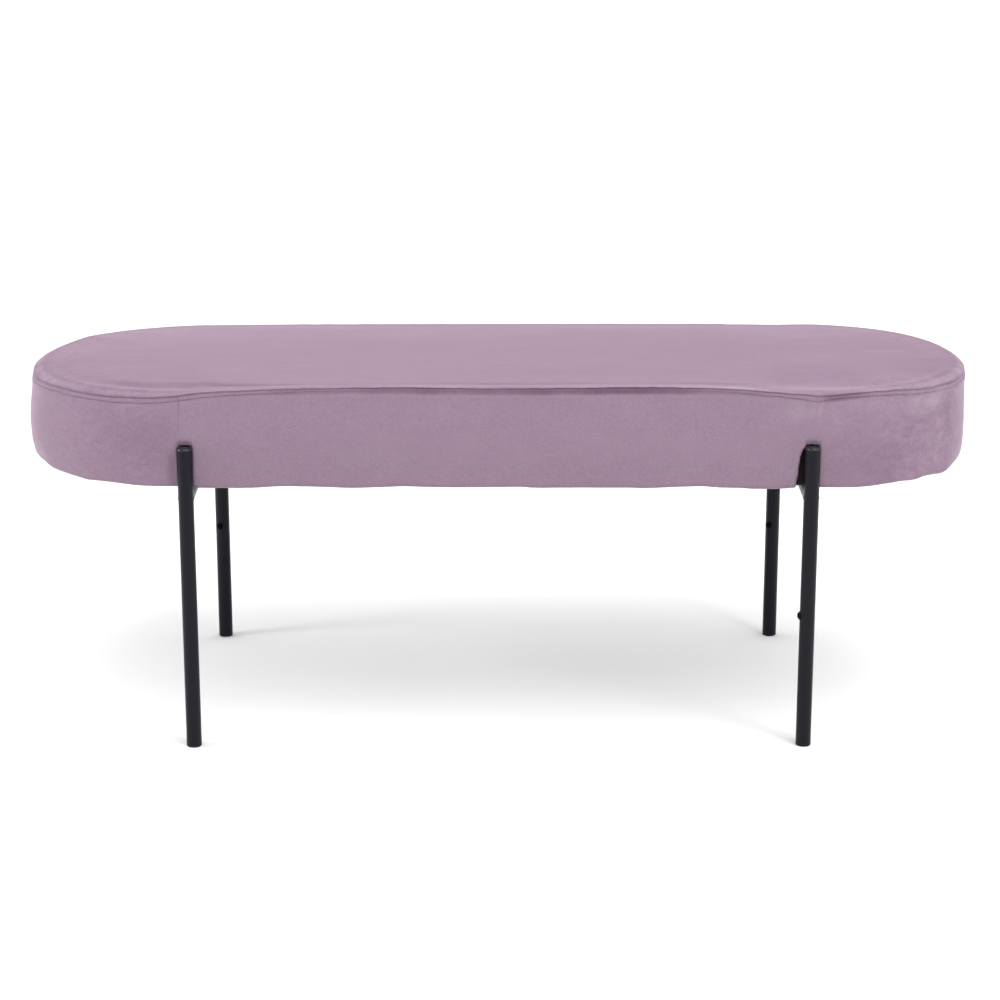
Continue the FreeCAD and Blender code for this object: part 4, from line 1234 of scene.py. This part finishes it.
def metal(name, base, rough, streak=(60, 60, 900), amp=0.12):
    mat, nt, bs = new_material(name)
    v = coords(nt)
    spangle = noise(nt, v, 240.0, 3.0, 0.6)
    vs = coords(nt, streak)
    st = noise(nt, vs, 1.0, 3.0, 0.6)
    f = math_node(nt, "ADD", remap(nt, spangle, 0.3, 0.7, -amp, amp), remap(nt, st, 0.3, 0.7, -amp * 0.6, amp * 0.6))
    vm = nt.nodes.new("ShaderNodeVectorMath")
    vm.operation = "SCALE"
    vm.inputs[0].default_value = base
    nt.links.new(math_node(nt, "ADD", f, 1.0), vm.inputs["Scale"])
    nt.links.new(vm.outputs[0], bs.inputs["Base Color"])
    nt.links.new(remap(nt, spangle, 0.3, 0.7, rough - 0.07, rough + 0.09), bs.inputs["Roughness"])
    bs.inputs["Metallic"].default_value = 1.0
    bump(nt, bs, math_node(nt, "ADD", spangle, st), 0.00002, 0.8)
    return mat


def plywood(name):
    mat, nt, bs = new_material(name)
    vg = coords(nt, (3.0, 55.0, 600.0))
    g = noise(nt, vg, 1.0, 6.0, 0.62, 1.6)
    vf = coords(nt, (30.0, 900.0, 900.0))
    pore = noise(nt, vf, 1.0, 2.0, 0.6)
    # plies show on the edge as thin layers
    tc = nt.nodes.new("ShaderNodeTexCoord")
    sp = nt.nodes.new("ShaderNodeSeparateXYZ")
    nt.links.new(tc.outputs["Object"], sp.inputs[0])
    ply = math_node(nt, "SINE", math_node(nt, "MULTIPLY", sp.outputs["Z"], 6.2832 / 0.0027))
    col = mix_color(nt, remap(nt, g, 0.32, 0.68, 0.0, 1.0), (0.60, 0.43, 0.25, 1.0), (0.42, 0.27, 0.14, 1.0))
    col = mix_color(nt, remap(nt, ply, -1.0, 1.0, 0.0, 0.28), col, (0.33, 0.21, 0.11, 1.0))
    col = mix_color(nt, remap(nt, pore, 0.55, 0.75, 0.0, 0.35), col, (0.25, 0.15, 0.08, 1.0))
    nt.links.new(col, bs.inputs["Base Color"])
    nt.links.new(remap(nt, g, 0.3, 0.7, 0.55, 0.72), bs.inputs["Roughness"])
    bump(nt, bs, math_node(nt, "ADD", g, pore), 0.00012, 0.7)
    return mat


def foam_material(name, base, cell, deep):
    mat, nt, bs = new_material(name)
    v = coords(nt)
    vo = nt.nodes.new("ShaderNodeTexVoronoi")
    vo.inputs["Scale"].default_value = cell
    nt.links.new(v, vo.inputs["Vector"])
    cloud = noise(nt, v, 35.0, 3.0, 0.6)
    col = mix_color(nt, remap(nt, vo.outputs["Distance"], 0.0, 0.7, 0.0, 1.0), scaled(base, 0.72), scaled(base, 1.0))
    col = mix_color(nt, remap(nt, cloud, 0.3, 0.7, 0.0, 0.18), col, scaled(base, 0.82))
    nt.links.new(col, bs.inputs["Base Color"])
    nt.links.new(remap(nt, cloud, 0.3, 0.7, 0.85, 0.97), bs.inputs["Roughness"])
    bs.inputs["Sheen Weight"].default_value = 0.1
    bump(nt, bs, vo.outputs["Distance"], deep, 0.8)
    return mat


def dust_material(name):
    """Thin spun black sheet with a pattern of small pressed dots."""
    mat, nt, bs = new_material(name)
    v = coords(nt)
    fibre = noise(nt, coords(nt, (900, 260, 260)), 1.0, 3.0, 0.6, 0.8)
    fibre2 = noise(nt, coords(nt, (260, 900, 260)), 1.0, 3.0, 0.6, 0.8)
    vo = nt.nodes.new("ShaderNodeTexVoronoi")
    vo.inputs["Scale"].default_value = 520.0
    vo.inputs["Randomness"].default_value = 0.15
    nt.links.new(v, vo.inputs["Vector"])
    dots = remap(nt, vo.outputs["Distance"], 0.15, 0.38, 0.0, 1.0)
    f = math_node(nt, "MAXIMUM", fibre, fibre2)
    col = mix_color(nt, remap(nt, f, 0.45, 0.75, 0.0, 1.0), (0.012, 0.012, 0.013, 1.0), (0.045, 0.045, 0.048, 1.0))
    col = mix_color(nt, remap(nt, dots, 0.0, 1.0, 0.5, 0.0), col, (0.008, 0.008, 0.009, 1.0))
    nt.links.new(col, bs.inputs["Base Color"])
    nt.links.new(remap(nt, dots, 0.0, 1.0, 0.5, 0.86), bs.inputs["Roughness"])
    bump(nt, bs, math_node(nt, "ADD", math_node(nt, "MULTIPLY", f, 0.6), dots), 0.00010, 0.8)
    return mat


M = {
    "velvet_top": velvet("velvet_top_pile", PILE_TOP, (9, 70, 70), False),
    "velvet_band": velvet("velvet_band_pile", PILE, (26, 26, 55), True),
    "black_coat": satin_black("black_powder_coat", (0.0062, 0.0062, 0.0088), 0.33, 0.00003, 0.160),
    "black_socket": satin_black("black_oxide_screw", (0.0016, 0.0016, 0.0018), 0.55, 0.00002, 0.05),
    "black_plastic": satin_black("black_moulded_plastic", (0.0095, 0.0095, 0.0112), 0.10, 0.00002, 0.50),
    "foot_plastic": satin_black("black_foot_plastic", (0.009, 0.009, 0.0105), 0.5, 0.00004, 0.2),
    "zinc_steel": metal("zinc_plated_steel", (0.62, 0.62, 0.60), 0.34),
    "staple_wire": metal("galvanised_staple_wire", (0.58, 0.58, 0.57), 0.30, (400, 60, 900)),
    "plywood": plywood("birch_plywood"),
    "foam": foam_material("seat_foam_cells", (0.80, 0.74, 0.55), 700.0, 0.0004),
    "wadding": foam_material("polyester_wadding", (0.85, 0.85, 0.83), 260.0, 0.0010),
    "dust_cloth": dust_material("spunbond_dust_cloth"),
}


def thread_material(name):
    mat, nt, bs = new_material(name)
    v = coords(nt, (2600, 2600, 2600))
    n = noise(nt, v, 1.0, 2.0, 0.6)
    col = mix_color(nt, remap(nt, n, 0.3, 0.7, 0.0, 1.0), scaled(PILE, 0.62), scaled(PILE, 1.02))
    nt.links.new(col, bs.inputs["Base Color"])
    nt.links.new(remap(nt, n, 0.3, 0.7, 0.5, 0.7), bs.inputs["Roughness"])
    bump(nt, bs, n, 0.00008, 0.8)
    return mat


def dress(ob, mat):
    if len(ob.data.materials) == 0:
        ob.data.materials.append(mat)
    else:
        for k in range(len(ob.data.materials)):
            ob.data.materials[k] = mat


dress(top, M["velvet_top"])
for ob in bands.values():
    dress(ob, M["velvet_band"])
dress(thread, thread_material("sewing_thread"))
dress(wadding, M["wadding"])
dress(foam, M["foam"])
dress(dust, M["dust_cloth"])

slot_of = {}
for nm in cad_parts:
    slot_of[nm] = "black_coat"
for nm in ("seat_board",):
    slot_of[nm] = "plywood"
for nm in ("hem_staples", "dust_cover_staples"):
    slot_of[nm] = "staple_wire"
for nm in ("t_nuts", "frame_bolts", "frame_washers"):
    slot_of[nm] = "zinc_steel"
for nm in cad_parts:
    if nm.endswith("_top_cap"):
        slot_of[nm] = "black_plastic"
    if nm.endswith("_foot_cap"):
        slot_of[nm] = "foot_plastic"
    if nm == "leg_screws":
        slot_of[nm] = "black_socket"
slot_of["foam_block"] = "foam"
slot_of["fibre_wrap"] = "wadding"
slot_of["dust_cover"] = "dust_cloth"
for nm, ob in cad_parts.items():
    if nm.startswith("cover_"):
        slot_of[nm] = "velvet_top" if nm == "cover_top_panel" else "velvet_band"
    dress(ob, M[slot_of[nm]])

# ---------------------------------------------------------------- stage
bpy.ops.mesh.primitive_grid_add(x_subdivisions=8, y_subdivisions=8, size=90.0, location=(0, 30.0, 0))
floor = bpy.context.object
floor.name = "studio_floor"
fmat, fnt, fbs = new_material("studio_floor_pale")
fv = coords(fnt)
fn = noise(fnt, fv, 3.0, 4.0, 0.6)
fcol = mix_color(fnt, remap(fnt, fn, 0.3, 0.7, 0.0, 1.0), (0.955, 0.955, 0.955, 1.0), (0.975, 0.975, 0.975, 1.0))
fnt.links.new(fcol, fbs.inputs["Base Color"])
fbs.inputs["Roughness"].default_value = 0.9
fbs.inputs["Specular IOR Level"].default_value = 0.1
dress(floor, fmat)

scene = bpy.context.scene
world = bpy.data.worlds.new("studio_world")
scene.world = world
world.use_nodes = True
bg = world.node_tree.nodes["Background"]
wn = world.node_tree
w_tc = wn.nodes.new("ShaderNodeTexCoord")
w_sp = wn.nodes.new("ShaderNodeSeparateXYZ")
wn.links.new(w_tc.outputs["Generated"], w_sp.inputs[0])
w_side = math_node(wn, "ABSOLUTE", w_sp.outputs["X"])
w_back = remap(wn, w_sp.outputs["Y"], -1.0, 1.0, 0.0, 1.0)
w_amt = math_node(wn, "ADD", remap(wn, w_side, 0.0, 1.0, 0.34, 0.95), math_node(wn, "MULTIPLY", w_back, 0.28))
w_lp = wn.nodes.new("ShaderNodeLightPath")
w_mix = wn.nodes.new("ShaderNodeMix")
w_mix.data_type = "FLOAT"
wn.links.new(w_lp.outputs["Is Camera Ray"], w_mix.inputs[0])
wn.links.new(w_amt, w_mix.inputs[2])
w_mix.inputs[3].default_value = 0.98
wn.links.new(w_mix.outputs[0], bg.inputs["Strength"])
bg.inputs["Color"].default_value = (1.0, 1.0, 1.0, 1.0)


def aim(ob, target):
    d = np.array(target) - np.array(ob.location)
    yaw = math.atan2(d[1], d[0])
    pitch = math.atan2(d[2], math.hypot(d[0], d[1]))
    ob.rotation_euler = (math.pi / 2 + pitch, 0.0, yaw - math.pi / 2)


def softbox(name, loc, target, size, power, sy=None):
    li = bpy.data.lights.new(name, "AREA")
    li.shape = "RECTANGLE"
    li.size = size
    li.size_y = sy or size
    li.energy = power
    ob = bpy.data.objects.new(name, li)
    ob.location = loc
    bpy.context.collection.objects.link(ob)
    aim(ob, target)
    return ob


softbox("right_softbox", (2.2, -2.3, 1.7), (0.0, 0.0, 0.38), 0.9, 22.0, 0.9)
softbox("left_softbox", (-3.1, -0.6, 1.3), (0.0, 0.0, 0.38), 0.7, 30.0, 1.0)


def broad_light(name, loc, strength, angle):
    """Very soft even light over the whole floor."""
    li = bpy.data.lights.new(name, "SUN")
    li.energy = strength
    li.angle = math.radians(angle)
    ob = bpy.data.objects.new(name, li)
    ob.location = loc
    bpy.context.collection.objects.link(ob)
    aim(ob, (0.0, 0.0, 0.0))
    return ob


broad_light("high_key", (0.8, -2.2, 3.6), 1.50, 50.0)
broad_light("overhead_sweep", (0.4, 0.8, 4.0), 0.68, 110.0)

cam = bpy.data.cameras.new("photo_camera")
cam.lens = 95.817
cam.sensor_width = 36.0
cam.clip_start = 0.05
cam.clip_end = 300.0
cam_ob = bpy.data.objects.new("photo_camera", cam)
cam_ob.location = (-0.011472, -3.341062, 1.233793)
cam_ob.rotation_euler = (math.pi / 2 - 0.28378, 0.0, -0.00414)
bpy.context.collection.objects.link(cam_ob)
scene.camera = cam_ob

scene.view_settings.view_transform = "Standard"
scene.view_settings.look = "None"
scene.view_settings.exposure = 0.0
scene.view_settings.gamma = 1.0

bpy.context.view_layer.update()
